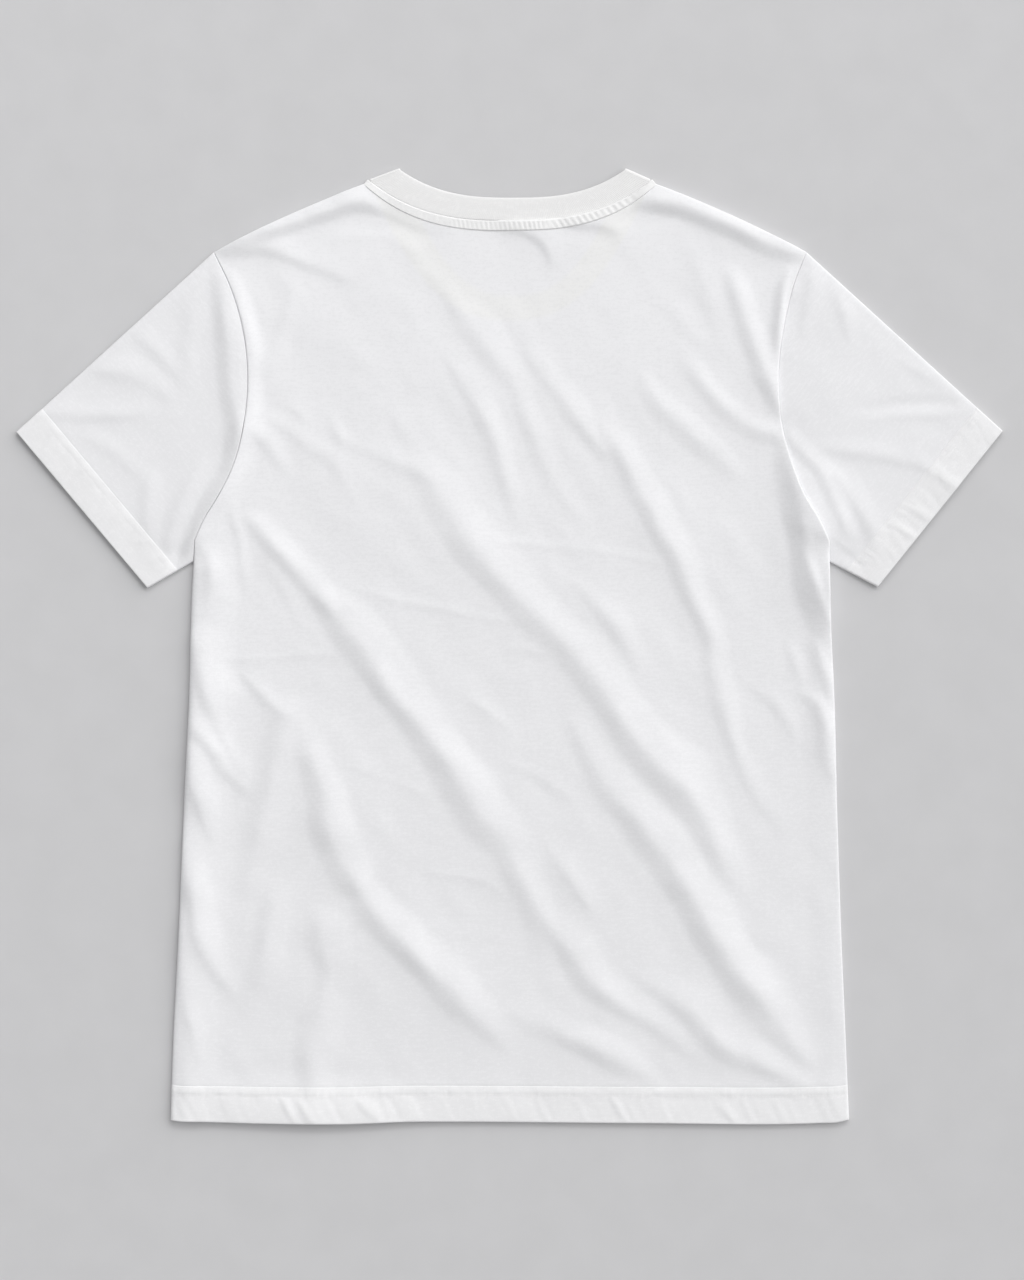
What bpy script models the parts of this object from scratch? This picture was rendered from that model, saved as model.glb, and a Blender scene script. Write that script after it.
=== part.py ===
# A crew-neck T-shirt laid flat on its front, back panel up, from the pieces that a maker would
# cut: front panel, back panel, two sleeves and the neck rib. Each is a closed wall of cloth.
# Sizes are in millimetres and become metres where the meshes are made. +Y runs from the hem to
# the neck, +X to the right as seen from above, and z = 0 is the surface it lies on. A level is a
# height up the garment from its hem.
from collections import namedtuple

import bmesh
import bpy
import numpy as np

MM = 0.001

LENGTH = 744.0          # hem to the tips of the neck rib
WALL = 1.1              # jersey as modelled
TURNED_WALL = 1.9       # jersey turned up on itself, at the hem and the cuffs
HEM_DEPTH = 25.0
HEM_CORNER_RISE = 3.2   # of the hem at its two ends, which fades in from the side and up the body
HEM_RISE_REACH = 75.0
CUFF_DEPTH = 24.0
SEAM_GAP = 0.35
TURN_STEP = 1.5         # over which a turned-up edge thins to a single wall

ARMPIT_LEVEL = 454.0
TIP_LEVEL = 679.0       # shoulder tips
NECK_LEVEL = 734.0      # where the neck seam meets the shoulders
RIB_TIP_LEVEL = 745.05  # of the rib's edge at each side of the neck, before its fold rounds it off
SHOULDER_BULGE = 2.2

RIB_HALF_THICKNESS = 0.8
RIB_FOLD_RADIUS = 1.05  # of the rib's middle surface where it turns under at each side of the neck
RIB_SAG = 0.6           # of the back of the rib at its middle
RIB_FOLD_SETBACK = 0.5  # of that fold from the ends of the shoulders

Edges = namedtuple("Edges", "level left right")

SIDE_SEAMS = (
    Edges(0.0, -264.0, 264.5),
    Edges(56.0, -262.5, 262.5),
    Edges(150.0, -257.8, 258.6),
    Edges(244.0, -253.9, 255.5),
    Edges(338.0, -249.5, 253.1),
    Edges(408.0, -247.7, 249.6),
    Edges(ARMPIT_LEVEL, -245.3, 248.6),
)
ARMHOLES = (
    Edges(ARMPIT_LEVEL, -245.3, 248.6),
    Edges(471.0, -237.5, 240.6),
    Edges(490.0, -225.8, 229.3),
    Edges(509.0, -216.5, 222.0),
    Edges(548.0, -206.3, 211.8),
    Edges(589.0, -204.0, 209.8),
    Edges(633.0, -211.0, 216.3),
    Edges(655.0, -218.8, 221.9),
    Edges(TIP_LEVEL, -230.5, 231.5),
)

# A neck curve runs from left to right and drops below its ends. A roundness of 2 is a parabola
# and more is squarer.
NeckCurve = namedtuple("NeckCurve", "left right level drop roundness")

BACK_SEAM = NeckCurve(-108.8, 109.6, NECK_LEVEL, 30.5, 2.8)
BACK_RIB_EDGE = NeckCurve(-84.9, 89.5, RIB_TIP_LEVEL, 23.6, 2.8)
FRONT_SEAM = NeckCurve(-108.8, 109.6, NECK_LEVEL, 108.0, 2.5)
FRONT_RIB_EDGE = NeckCurve(-84.9, 89.5, RIB_TIP_LEVEL, 99.9, 2.5)

Sleeve = namedtuple("Sleeve", "name side cuff_top cuff_bottom")

SLEEVES = (
    Sleeve("left_sleeve", "left", (-384.2, 539.0), (-282.0, 417.3)),
    Sleeve("right_sleeve", "right", (384.2, 539.8), (286.7, 418.1)),
)
UNDERARM_BULGE = 6.0
SLEEVE_SWELL = 2.0      # how far the top layer of a sleeve stands up at its middle

# Where the meshes have their rows and columns
ARMHOLE_LEVELS = (456.0, 472.0, 492.0, 515.0, 548.0, 589.0, 633.0, 660.0, 677.0, TIP_LEVEL)
HEM_LEVELS = (0.0, HEM_DEPTH, HEM_DEPTH + TURN_STEP)
BACK_LEVELS = HEM_LEVELS + tuple(range(48, 450, 20)) + (ARMPIT_LEVEL,)
FRONT_LEVELS = HEM_LEVELS + (90.0, 160.0, 240.0, 320.0, 390.0, ARMPIT_LEVEL)
BACK_SHOULDER_STATIONS = (0.0, 0.012, 0.04, 0.08, 0.14, 0.24, 0.38, 0.54, 0.7, 0.86, 1.0)
FRONT_SHOULDER_STATIONS = (0.0, 0.14, 0.38, 0.7, 1.0)
NECK_STEPS = 16
SLEEVE_STATIONS = (0.0, 0.04, 0.2, 0.4, 0.6, 0.78)
SLEEVE_TURN_SHARE = 0.009       # of a sleeve's width, in from its fold, where its inner wall turns
SLEEVE_FLAT_SHARE = 0.016       # where that inner wall lies flat
RIB_SHARES = (0.0, 0.33, 0.66, 0.95)    # of the rib's width, from its seam to its rounded edge
RIB_FOLD_TURNS = (50.0, 0.0, -50.0)     # degrees up from level, from the upper layer to the lower
SLOPE_STEP = 0.5

# How the back panel lies on the front one
EDGE_UNDERSIDE = 1.4    # of the back panel at its side seams, armholes and shoulders
BACK_UNDERSIDE = 2.25   # of the back panel where the hem or the neck rib lies below it
EDGE_RISE = 14.0        # in from an edge, over which the underside rises
BEAD_HEIGHT = 2.4       # the soft roll along each side seam
BEAD_CENTRE = 9.0
BEAD_REACH = 17.0

# The largest folds of the back panel, as ridges that run down to the right. Each has a steep
# flank, lower left, that falls in shade and a gentle lit one. bow is how far the middle of a ridge
# stands off its chord, towards the shaded flank where it is positive.
Fold = namedtuple("Fold", "name x0 level0 x1 level1 bow shaded_width lit_width height")

FOLDS = (
    Fold("waist to hem", -190.7, 463.3, 147.0, 48.0, 8.0, 15.0, 24.0, 4.6),
    Fold("middle", -85.0, 517.0, 176.0, 174.0, 0.0, 15.0, 24.0, 4.6),
    Fold("lower right", 57.3, 300.0, 226.5, 55.0, 6.0, 16.0, 26.0, 4.8),
    Fold("lower left", -154.0, 291.0, 113.5, 37.0, 56.0, 16.0, 24.0, 4.4),
    Fold("right of middle", 27.7, 579.5, 207.1, 240.0, -26.0, 14.0, 20.0, 3.6),
    Fold("right shoulder", 176.0, 654.0, 204.7, 581.0, 0.0, 13.0, 18.0, 3.0),
    Fold("right armpit", 220.0, 509.0, 243.7, 386.0, 8.0, 15.0, 14.0, 4.2),
)
FOLD_SAMPLES = 24
FOLD_TAPER = 0.16       # of its length, over which a fold rises at each end

WHITE_JERSEY = (0.87, 0.87, 0.88, 1.0)
WHITE_RIB = (0.86, 0.86, 0.87, 1.0)


def smooth(share):
    share = np.clip(share, 0.0, 1.0)
    return share * share * (3.0 - 2.0 * share)


def through(table, side, level):
    """The side's place at a level, on a smooth curve through the table's rows."""
    levels = np.array([row.level for row in table])
    places = np.array([getattr(row, side) for row in table])
    slopes = np.gradient(places, levels)
    level = np.clip(level, levels[0], levels[-1])
    i = np.clip(np.searchsorted(levels, level) - 1, 0, len(levels) - 2)
    span = levels[i + 1] - levels[i]
    t = (level - levels[i]) / span
    start = (2 * t**3 - 3 * t**2 + 1) * places[i] + (t**3 - 2 * t**2 + t) * span * slopes[i]
    end = (3 * t**2 - 2 * t**3) * places[i + 1] + (t**3 - t**2) * span * slopes[i + 1]
    return start + end


def body_edge(side, level):
    table = SIDE_SEAMS if level < ARMPIT_LEVEL else ARMHOLES
    return float(through(table, side, level))


def neck_points(curve):
    """Points along a neck curve, closer together at its steep ends."""
    middle = (curve.left + curve.right) / 2
    half = (curve.right - curve.left) / 2
    share = -np.cos(np.linspace(0.0, np.pi, NECK_STEPS + 1))
    levels = curve.level - curve.drop * (1.0 - np.abs(share) ** curve.roundness)
    return np.column_stack([middle + half * share, levels])


def moved_aside(points, distance):
    """The same points moved to the right of their direction of travel."""
    travel = np.gradient(points, axis=0)
    travel /= np.linalg.norm(travel, axis=1)[:, None]
    return points + distance * np.column_stack([travel[:, 1], -travel[:, 0]])


def shoulder_points(side, stations, neck_point):
    """From the shoulder tip to the neck."""
    tip = np.array([body_edge(side, TIP_LEVEL), TIP_LEVEL])
    stations = np.array(stations)[:, None]
    points = tip + stations * (neck_point - tip)
    points[:, 1] += SHOULDER_BULGE * 4.0 * (stations * (1.0 - stations))[:, 0]
    return points


def panel_outline_top(seam, stations):
    """A panel's top edge: left shoulder, neck and right shoulder."""
    neck = moved_aside(neck_points(seam), SEAM_GAP)
    left = shoulder_points("left", stations, neck[0])
    right = shoulder_points("right", stations, neck[-1])[::-1]
    return np.vstack([left[:-1], neck, right[1:]])


def panel_plan(seam, stations, levels):
    """Rows of points from the hem up, each from the left edge to the right one."""
    top = panel_outline_top(seam, stations)
    lefts = np.array([body_edge("left", level) for level in top[:, 1]])
    rights = np.array([body_edge("right", level) for level in top[:, 1]])
    shares = (top[:, 0] - lefts) / (rights - lefts)
    rows = []
    for level in levels:
        row = []
        for share, top_level in zip(shares, top[:, 1]):
            y = level
            if level > ARMPIT_LEVEL:
                climbed = (level - ARMPIT_LEVEL) / (TIP_LEVEL - ARMPIT_LEVEL)
                y = ARMPIT_LEVEL + climbed * (top_level - ARMPIT_LEVEL)
            left, right = body_edge("left", y), body_edge("right", y)
            x = left + share * (right - left)
            to_corner = 1.0 - smooth(min(x - left, right - x) / HEM_RISE_REACH)
            rise = HEM_CORNER_RISE * to_corner * (1.0 - smooth(y / HEM_RISE_REACH))
            row.append((x, y + rise))
        rows.append(row)
    return np.array(rows)


def fold_path(fold):
    start = np.array([fold.x0, fold.level0])
    end = np.array([fold.x1, fold.level1])
    chord = end - start
    across = np.array([chord[1], -chord[0]]) / np.linalg.norm(chord)
    t = np.linspace(0.0, 1.0, FOLD_SAMPLES)[:, None]
    return start + t * chord + 4.0 * t * (1.0 - t) * fold.bow * across


def fold_height(fold, plan):
    """How far a fold lifts each point of the plan."""
    path = fold_path(fold)
    step = np.diff(path, axis=0)
    lengths = np.linalg.norm(step, axis=1)
    run = np.concatenate([[0.0], np.cumsum(lengths)])
    offset = plan[..., None, :] - path[:-1]
    along = np.clip((offset * step).sum(-1) / lengths**2, 0.0, 1.0)
    distances = np.linalg.norm(offset - along[..., None] * step, axis=-1)
    nearest = distances.argmin(-1)[..., None]
    travelled = np.take_along_axis(run[:-1] + along * lengths, nearest, -1)[..., 0] / run[-1]
    asides = step[:, 1] * offset[..., 0] - step[:, 0] * offset[..., 1]
    shaded = np.take_along_axis(asides, nearest, -1)[..., 0] > 0.0
    width = np.where(shaded, fold.shaded_width, fold.lit_width)
    share = np.minimum(distances.min(-1) / width, 1.0)
    taper = smooth(travelled / FOLD_TAPER) * smooth((1.0 - travelled) / FOLD_TAPER)
    return fold.height * taper * (1.0 - share**2) ** 2


def panel_wall(level):
    return TURNED_WALL - (TURNED_WALL - WALL) * smooth((level - HEM_DEPTH) / TURN_STEP)


def back_underside(plan):
    """Height of the back panel's underside over the front panel, the rib and the hem."""
    level = plan[..., 1]
    side = np.minimum(plan[..., 0] - plan[:, :1, 0], plan[:, -1:, 0] - plan[..., 0])
    clear_of_shoulder = smooth((plan[-1:, :, 1] - level) / EDGE_RISE)
    neck_column = len(BACK_SHOULDER_STATIONS) - 1
    clear_of_shoulder[:, neck_column:-neck_column] = 1.0
    over_hem = 1.0 - smooth((level - HEM_DEPTH - TURN_STEP) / EDGE_RISE)
    clear = np.maximum(smooth(side / EDGE_RISE) * clear_of_shoulder, over_hem)
    height = EDGE_UNDERSIDE + (BACK_UNDERSIDE - EDGE_UNDERSIDE) * clear
    bead_width = np.where(side < BEAD_CENTRE, BEAD_CENTRE, BEAD_REACH)
    beside_bead = np.minimum(np.abs(side - BEAD_CENTRE) / bead_width, 1.0)
    below_armpit = smooth((ARMPIT_LEVEL - level) / EDGE_RISE) * (1.0 - over_hem)
    return height + BEAD_HEIGHT * (1.0 - beside_bead**2) ** 2 * below_armpit


def grid_normals(points):
    """Unit normals of a grid of points, upright along its border."""
    across = np.gradient(points, axis=1)
    along = np.gradient(points, axis=0)
    normals = np.cross(across, along)
    normals /= np.linalg.norm(normals, axis=-1)[..., None]
    for border in (np.s_[0, :], np.s_[-1, :], np.s_[:, 0], np.s_[:, -1]):
        normals[border] = (0.0, 0.0, 1.0)
    return normals


def add_faces(mesh, points, wrap_rows=False, wrap_columns=False):
    """Adds a grid of points and its quads, and returns the grid of vertices."""
    rows, columns = points.shape[:2]
    vertices = [[mesh.verts.new(point) for point in row] for row in points.tolist()]
    for i in range(rows if wrap_rows else rows - 1):
        for j in range(columns if wrap_columns else columns - 1):
            below, above = vertices[i], vertices[(i + 1) % rows]
            beside = (j + 1) % columns
            mesh.faces.new((below[j], below[beside], above[beside], above[j]))
    return vertices


def join_rims(mesh, outer, inner, closed):
    """Joins two runs of vertices with a strip of quads."""
    count = len(outer) if closed else len(outer) - 1
    for j in range(count):
        beside = (j + 1) % len(outer)
        mesh.faces.new((outer[j], outer[beside], inner[beside], inner[j]))


def panel_mesh(top, bottom):
    """A wall between two open grids."""
    mesh = bmesh.new()
    upper = add_faces(mesh, top)
    lower = add_faces(mesh, bottom)
    join_rims(mesh, upper[0], lower[0], False)
    join_rims(mesh, upper[-1], lower[-1], False)
    join_rims(mesh, [row[0] for row in upper], [row[0] for row in lower], False)
    join_rims(mesh, [row[-1] for row in upper], [row[-1] for row in lower], False)
    return mesh


def tube_mesh(outer, inner):
    """A wall between two rows of rings, open at both ends."""
    mesh = bmesh.new()
    outside = add_faces(mesh, outer, wrap_columns=True)
    inside = add_faces(mesh, inner, wrap_columns=True)
    join_rims(mesh, outside[0], inside[0], True)
    join_rims(mesh, outside[-1], inside[-1], True)
    return mesh


def loop_mesh(sections):
    """A closed loop of closed sections."""
    mesh = bmesh.new()
    add_faces(mesh, sections, wrap_rows=True, wrap_columns=True)
    return mesh


def cloth_material(name, colour, roughness):
    material = bpy.data.materials.new(name)
    material.use_nodes = True
    shader = material.node_tree.nodes["Principled BSDF"]
    shader.inputs["Base Color"].default_value = colour
    shader.inputs["Roughness"].default_value = roughness
    shader.inputs["Metallic"].default_value = 0.0
    return material


def place(name, mesh, material):
    """Makes the named object of a finished mesh, given in millimetres with levels for y."""
    for vertex in mesh.verts:
        vertex.co.y -= LENGTH / 2
        vertex.co *= MM
    bmesh.ops.recalc_face_normals(mesh, faces=mesh.faces)
    data = bpy.data.meshes.new(name)
    mesh.to_mesh(data)
    mesh.free()
    data.shade_smooth()
    data.materials.append(material)
    bpy.context.scene.collection.objects.link(bpy.data.objects.new(name, data))


def with_height(plan, height):
    return np.concatenate([plan, np.broadcast_to(height, plan.shape[:2])[..., None]], axis=-1)


def make_front_panel(material):
    plan = panel_plan(FRONT_SEAM, FRONT_SHOULDER_STATIONS, FRONT_LEVELS + ARMHOLE_LEVELS)
    top = with_height(plan, panel_wall(plan[..., 1]))
    place("front_panel", panel_mesh(top, with_height(plan, 0.0)), material)


def make_back_panel(material):
    plan = panel_plan(BACK_SEAM, BACK_SHOULDER_STATIONS, BACK_LEVELS + ARMHOLE_LEVELS)
    wall = panel_wall(plan[..., 1])
    height = back_underside(plan) + wall
    for fold in FOLDS:
        height = height + fold_height(fold, plan)
    top = with_height(plan, height)
    bottom = top - wall[..., None] * grid_normals(top)
    place("back_panel", panel_mesh(top, bottom), material)


def armhole_point(side, level):
    """A point of the armhole seam, moved out to the sleeve's side of the gap."""
    low = max(level - SLOPE_STEP, ARMPIT_LEVEL)
    high = min(level + SLOPE_STEP, TIP_LEVEL)
    slope = (body_edge(side, high) - body_edge(side, low)) / (high - low)
    out = np.array([1.0, -slope]) / np.hypot(1.0, slope)
    return np.array([body_edge(side, level), level]) + SEAM_GAP * out * (-1.0 if side == "left" else 1.0)


def sleeve_point(sleeve, station, share):
    """A point of a sleeve, from the armhole to the cuff and from the shoulder to the underarm."""
    armhole = armhole_point(sleeve.side, TIP_LEVEL - share * (TIP_LEVEL - ARMPIT_LEVEL))
    cuff_top, cuff_bottom = np.array(sleeve.cuff_top), np.array(sleeve.cuff_bottom)
    cuff = cuff_top + share * (cuff_bottom - cuff_top)
    bulge = UNDERARM_BULGE * 4.0 * station * (1.0 - station) * share**6
    return armhole + station * (cuff - armhole) - np.array([0.0, bulge])


def sleeve_rings(sleeve, station, wall):
    """The outer and inner rings of a sleeve at a station: top layer, underarm, lower layer, fold."""
    swell = np.sin(np.pi * station)
    underside = EDGE_UNDERSIDE + (TURNED_WALL + SEAM_GAP - EDGE_UNDERSIDE) * smooth(station * 2.0)
    shares = [(TIP_LEVEL - level) / (TIP_LEVEL - ARMPIT_LEVEL) for level in ARMHOLE_LEVELS[-2::-1]]
    outer, inner = [], []
    for layer in ("top", "lower"):
        for share in shares if layer == "top" else shares[::-1]:
            x, y = sleeve_point(sleeve, station, share)
            lift = SLEEVE_SWELL * swell * np.sin(np.pi * share)
            outer.append((x, y, underside + lift + wall if layer == "top" else 0.0))
            share = np.clip(share, SLEEVE_FLAT_SHARE, 1.0 - SLEEVE_FLAT_SHARE)
            x, y = sleeve_point(sleeve, station, share)
            inner.append((x, y, underside + lift if layer == "top" else wall))
        end = 1.0 if layer == "top" else 0.0
        x, y = sleeve_point(sleeve, station, end)
        outer.append((x, y, (underside + wall) / 2))
        x, y = sleeve_point(sleeve, station, abs(end - SLEEVE_TURN_SHARE))
        inner.append((x, y, (underside + wall) / 2))
    return outer, inner


def make_sleeve(sleeve, material):
    length = np.linalg.norm(np.array(sleeve.cuff_top) - armhole_point(sleeve.side, TIP_LEVEL))
    cuff_start = 1.0 - CUFF_DEPTH / length
    walls = [(station, WALL) for station in SLEEVE_STATIONS + (cuff_start - TURN_STEP / length,)]
    walls += [(cuff_start, TURNED_WALL), (1.0, TURNED_WALL)]
    rings = [sleeve_rings(sleeve, station, wall) for station, wall in walls]
    outer = np.array([ring[0] for ring in rings])
    inner = np.array([ring[1] for ring in rings])
    place(sleeve.name, tube_mesh(outer, inner), material)


def rib_section(seam_point, edge_point, normal):
    """A section of the folded rib from its seam to its rounded edge and back below."""
    across = edge_point - seam_point
    shares = np.array(RIB_SHARES)[:, None]
    upper = seam_point + shares * across + RIB_HALF_THICKNESS * normal
    lower = seam_point + shares[::-1] * across - RIB_HALF_THICKNESS * normal
    return np.vstack([upper, edge_point[None, :], lower])


def rib_layer(seam, edge, heights):
    """Seam and edge points of one layer's middle surface, from the left of the neck to the right."""
    seam_points = np.column_stack([neck_points(seam), heights])
    edge_points = np.column_stack([neck_points(edge), heights])
    return list(zip(seam_points, edge_points))[1:-1]


def rib_fold(upper, lower, outward):
    """Sections that turn the rib from its upper layer down to its lower one."""
    sections = []
    for turn in np.radians(RIB_FOLD_TURNS):
        normal = np.array([np.cos(turn) * outward[0], np.cos(turn) * outward[1], np.sin(turn)])
        ends = []
        for top, bottom in zip(upper, lower):
            base = bottom + (top - bottom) * (1.0 + np.sin(turn)) / 2
            ends.append(base + RIB_FOLD_RADIUS * np.cos(turn) * np.array([*outward, 0.0]))
        across = (ends[1] - ends[0]) / np.linalg.norm(ends[1] - ends[0])
        setback = RIB_FOLD_SETBACK * np.cos(turn) * across
        sections.append(rib_section(ends[0] + setback, ends[1], normal))
    return sections


def make_neck_rib(material):
    low = RIB_HALF_THICKNESS
    high = low + 2.0 * RIB_FOLD_RADIUS
    along = np.linspace(0.0, np.pi, NECK_STEPS + 1)
    back = rib_layer(BACK_SEAM, BACK_RIB_EDGE, high - RIB_SAG * np.sin(along))
    front = rib_layer(FRONT_SEAM, FRONT_RIB_EDGE, np.full(NECK_STEPS + 1, low))
    fold_line = np.array([BACK_RIB_EDGE.left - BACK_SEAM.left, RIB_TIP_LEVEL - NECK_LEVEL])
    left_out = np.array([-fold_line[1], fold_line[0]]) / np.linalg.norm(fold_line)
    right_out = np.array([-left_out[0], left_out[1]])
    up = np.array([0.0, 0.0, 1.0])
    sections = [rib_section(*points, up) for points in back]
    sections += rib_fold(back[-1], front[-1], right_out)
    sections += [rib_section(*points, -up) for points in front[::-1]]
    sections += rib_fold(back[0], front[0], left_out)[::-1]
    place("collar_rib", loop_mesh(np.array(sections)), material)


def clear_scene():
    for old in list(bpy.data.objects):
        bpy.data.objects.remove(old)


clear_scene()
jersey = cloth_material("white_jersey", WHITE_JERSEY, 0.9)
rib = cloth_material("white_rib", WHITE_RIB, 0.92)
make_front_panel(jersey)
make_back_panel(jersey)
for sleeve_row in SLEEVES:
    make_sleeve(sleeve_row, jersey)
make_neck_rib(rib)
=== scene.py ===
import math

import bpy
import numpy as np
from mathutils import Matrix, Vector


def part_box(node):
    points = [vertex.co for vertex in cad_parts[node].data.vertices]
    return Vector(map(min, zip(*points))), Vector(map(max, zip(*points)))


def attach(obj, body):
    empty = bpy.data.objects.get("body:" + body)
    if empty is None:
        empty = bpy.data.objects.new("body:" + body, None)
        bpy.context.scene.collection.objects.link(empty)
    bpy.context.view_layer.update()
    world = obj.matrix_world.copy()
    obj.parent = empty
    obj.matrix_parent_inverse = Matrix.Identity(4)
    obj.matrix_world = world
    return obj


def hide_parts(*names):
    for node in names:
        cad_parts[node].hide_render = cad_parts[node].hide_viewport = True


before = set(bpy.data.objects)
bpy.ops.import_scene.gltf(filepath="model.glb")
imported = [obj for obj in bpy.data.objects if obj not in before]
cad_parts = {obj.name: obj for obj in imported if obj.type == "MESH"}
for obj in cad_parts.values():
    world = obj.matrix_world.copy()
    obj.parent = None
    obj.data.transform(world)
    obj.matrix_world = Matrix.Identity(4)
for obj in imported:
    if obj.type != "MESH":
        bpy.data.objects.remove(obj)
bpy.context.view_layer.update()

# A white crew-neck T-shirt laid flat, back panel up. Cloth is worked out in millimetres:
# x to the right of the garment's middle, up from its hem, z above the surface it lies on.
mm = 0.001
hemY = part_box("back_panel")[0].y       # where up is 0


# The cut

cut = {
    "armpit": 454, "underarm": 438, "shoulderTip": 679, "neck": 734, "shoulderBulge": 2.2,
    "hemTop": 28.5, "cuffTop": 27,     # where the turned-up edges' own strips of cloth start
    "sideSeams": [                     # up, left, right
        (0, -264, 264.5), (56, -262.5, 262.5), (150, -257.8, 258.6), (244, -253.9, 255.5),
        (338, -249.5, 253.1), (408, -247.7, 249.6), (454, -245.3, 248.6)],
    "armholes": [                      # up, left, right
        (454, -245.3, 248.6), (471, -237.5, 240.6), (490, -225.8, 229.3), (509, -216.5, 222),
        (548, -206.3, 211.8), (589, -204, 209.8), (633, -211, 216.3), (655, -218.8, 221.9),
        (679, -230.5, 231.5)],
    "hemWave": [                       # x, how far the hem's edge stands up from its lowest place
        (-265, 3.1), (-258, 2.2), (-241, 1.6), (-163, 0), (-124, 0), (-85, 1.4), (-39, 1.5),
        (50, 0.8), (106, 0.4), (240, 0.4), (256, 1.2), (265, 3.2)],
    "hemLift": [                       # x, how far the hem's edge stands off the surface
        (-265, 1.2), (-215, 2.8), (-163, 4.6), (-110, 3.8), (-60, 1.8), (0, 1.3), (120, 1.6),
        (200, 1.4), (265, 1.2)],
    "hemWaveFade": 75, "hemLiftFade": 44,
    "seamGap": 0.1,
}
neckCurves = {                         # each drops below its ends; a roundness of 2 is a parabola
    "backSeam": {"left": -108.8, "right": 109.6, "up": 734, "drop": 30.5, "roundness": 2.8},
    "backEdge": {"left": -84.9, "right": 89.5, "up": 742.9, "drop": 21.45, "roundness": 2.8},
    "frontSeam": {"left": -108.8, "right": 109.6, "up": 734, "drop": 108, "roundness": 2.5},
    "frontEdge": {"left": -84.9, "right": 89.5, "up": 742.9, "drop": 97.75, "roundness": 2.5},
}
neckBand = {"width": 7.7, "endWidth": 5, "endPower": 3}     # from the rib's seam to its stitches
cloth = {
    "thickness": 0.9, "hemThickness": 1.2, "bandThickness": 0.75,
    "least": 0.05,                     # kept between a wall's two faces
    "edgeRound": 1.1,                  # where cloth turns down at a seam
    "tuckDepth": 1.8,                  # of a panel's or a sleeve's edge under its hem's strip
}


def smooth(share):
    share = np.clip(share, 0, 1)
    return share * share * (3 - 2 * share)


def fade(apart, reach, start=0):       # 0 up to the start, rising to 1 over the reach
    return smooth((apart - start) / reach)


def through(rows, column, at):         # a smooth curve through a table, by its first column
    rows = np.array(rows, float)
    places, values = rows[:, 0], rows[:, column]
    slopes = np.gradient(values, places)
    at = np.clip(at, places[0], places[-1])
    i = np.clip(np.searchsorted(places, at, "right") - 1, 0, len(places) - 2)
    span = places[i + 1] - places[i]
    t = (at - places[i]) / span
    start = (2 * t**3 - 3 * t**2 + 1) * values[i] + (t**3 - 2 * t**2 + t) * span * slopes[i]
    end = (3 * t**2 - 2 * t**3) * values[i + 1] + (t**3 - t**2) * span * slopes[i + 1]
    return start + end


def runOf(places):                     # how far along a line each of its places is
    return np.concatenate([[0], np.cumsum(np.linalg.norm(np.diff(places, axis=0), axis=1))])


def alongRows(rows, step):             # a smooth curve through rows of x, up and more, by their own run
    rows = np.array(rows, float)
    run = runOf(rows[:, :2])
    at = np.linspace(0, run[-1], max(int(run[-1] / step), 2) + 1)
    table = np.column_stack([run, rows])
    return np.column_stack([through(table, k, at) for k in range(1, table.shape[1])])


def stepsTo(start, end, step):
    return np.linspace(start, end, max(int(round((end - start) / step)), 1) + 1)


def sideEdge(side, up):                # x of a side seam, and of the armhole above it
    column = 1 if side == "left" else 2
    return np.where(np.asarray(up, float) < cut["armpit"], through(cut["sideSeams"], column, up),
                    through(cut["armholes"], column, up))


def fromSides(x, up):                  # how far in from the nearer side seam or armhole
    return np.minimum(x - sideEdge("left", up), sideEdge("right", up) - x)


def neckCurve(name, count):            # places along a neck curve, closer together at its ends
    curve = neckCurves[name]
    share = -np.cos(np.linspace(0, np.pi, count))
    half = (curve["right"] - curve["left"]) / 2
    up = curve["up"] - curve["drop"] * (1 - np.abs(share) ** curve["roundness"])
    return share, np.column_stack([curve["left"] + half + share * half, up])


# Places beside a neck curve, across from 0 at the rib's seam to 1 at the band's stitches.
def neckLine(name, across=0.0, reach=0.0, count=500):
    share, places = neckCurve(name, count)
    travel = np.gradient(places, axis=0)
    travel /= np.linalg.norm(travel, axis=1)[:, None]
    widest = neckBand["width"] - neckBand["endWidth"]
    wide = neckBand["endWidth"] + widest * (1 - np.abs(share) ** neckBand["endPower"])
    aside = (cut["seamGap"] + across * wide)[:, None] * np.column_stack([travel[:, 1], -travel[:, 0]])
    line = places + aside
    return np.vstack([line[0] - reach * travel[0], line, line[-1] + reach * travel[-1]])


def shoulderUp(x):                     # the height of the shoulder line at x
    curve = neckCurves["backSeam"]
    left = x < 0
    tip = np.where(left, sideEdge("left", cut["shoulderTip"]), sideEdge("right", cut["shoulderTip"]))
    neck = np.where(left, curve["left"], curve["right"])
    share = np.clip((x - tip) / (neck - tip), 0, 1)
    bulge = cut["shoulderBulge"] * 4 * share * (1 - share)
    return cut["shoulderTip"] + share * (cut["neck"] - cut["shoulderTip"]) + bulge


def topUp(name, x):                    # a panel's top edge: shoulder, neck band's stitches, shoulder
    groove = neckLine(name, 1.0)
    inNeck = (x > groove[0, 0]) & (x < groove[-1, 0])
    return np.where(inNeck, np.interp(x, groove[:, 0], groove[:, 1]), shoulderUp(x))


# Folds, placed one by one. Each has the widths of its shaded and its lit flank, then places of x, up
# and height; a negative height makes a trough. Going along it, its shaded flank is on the right.

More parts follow.
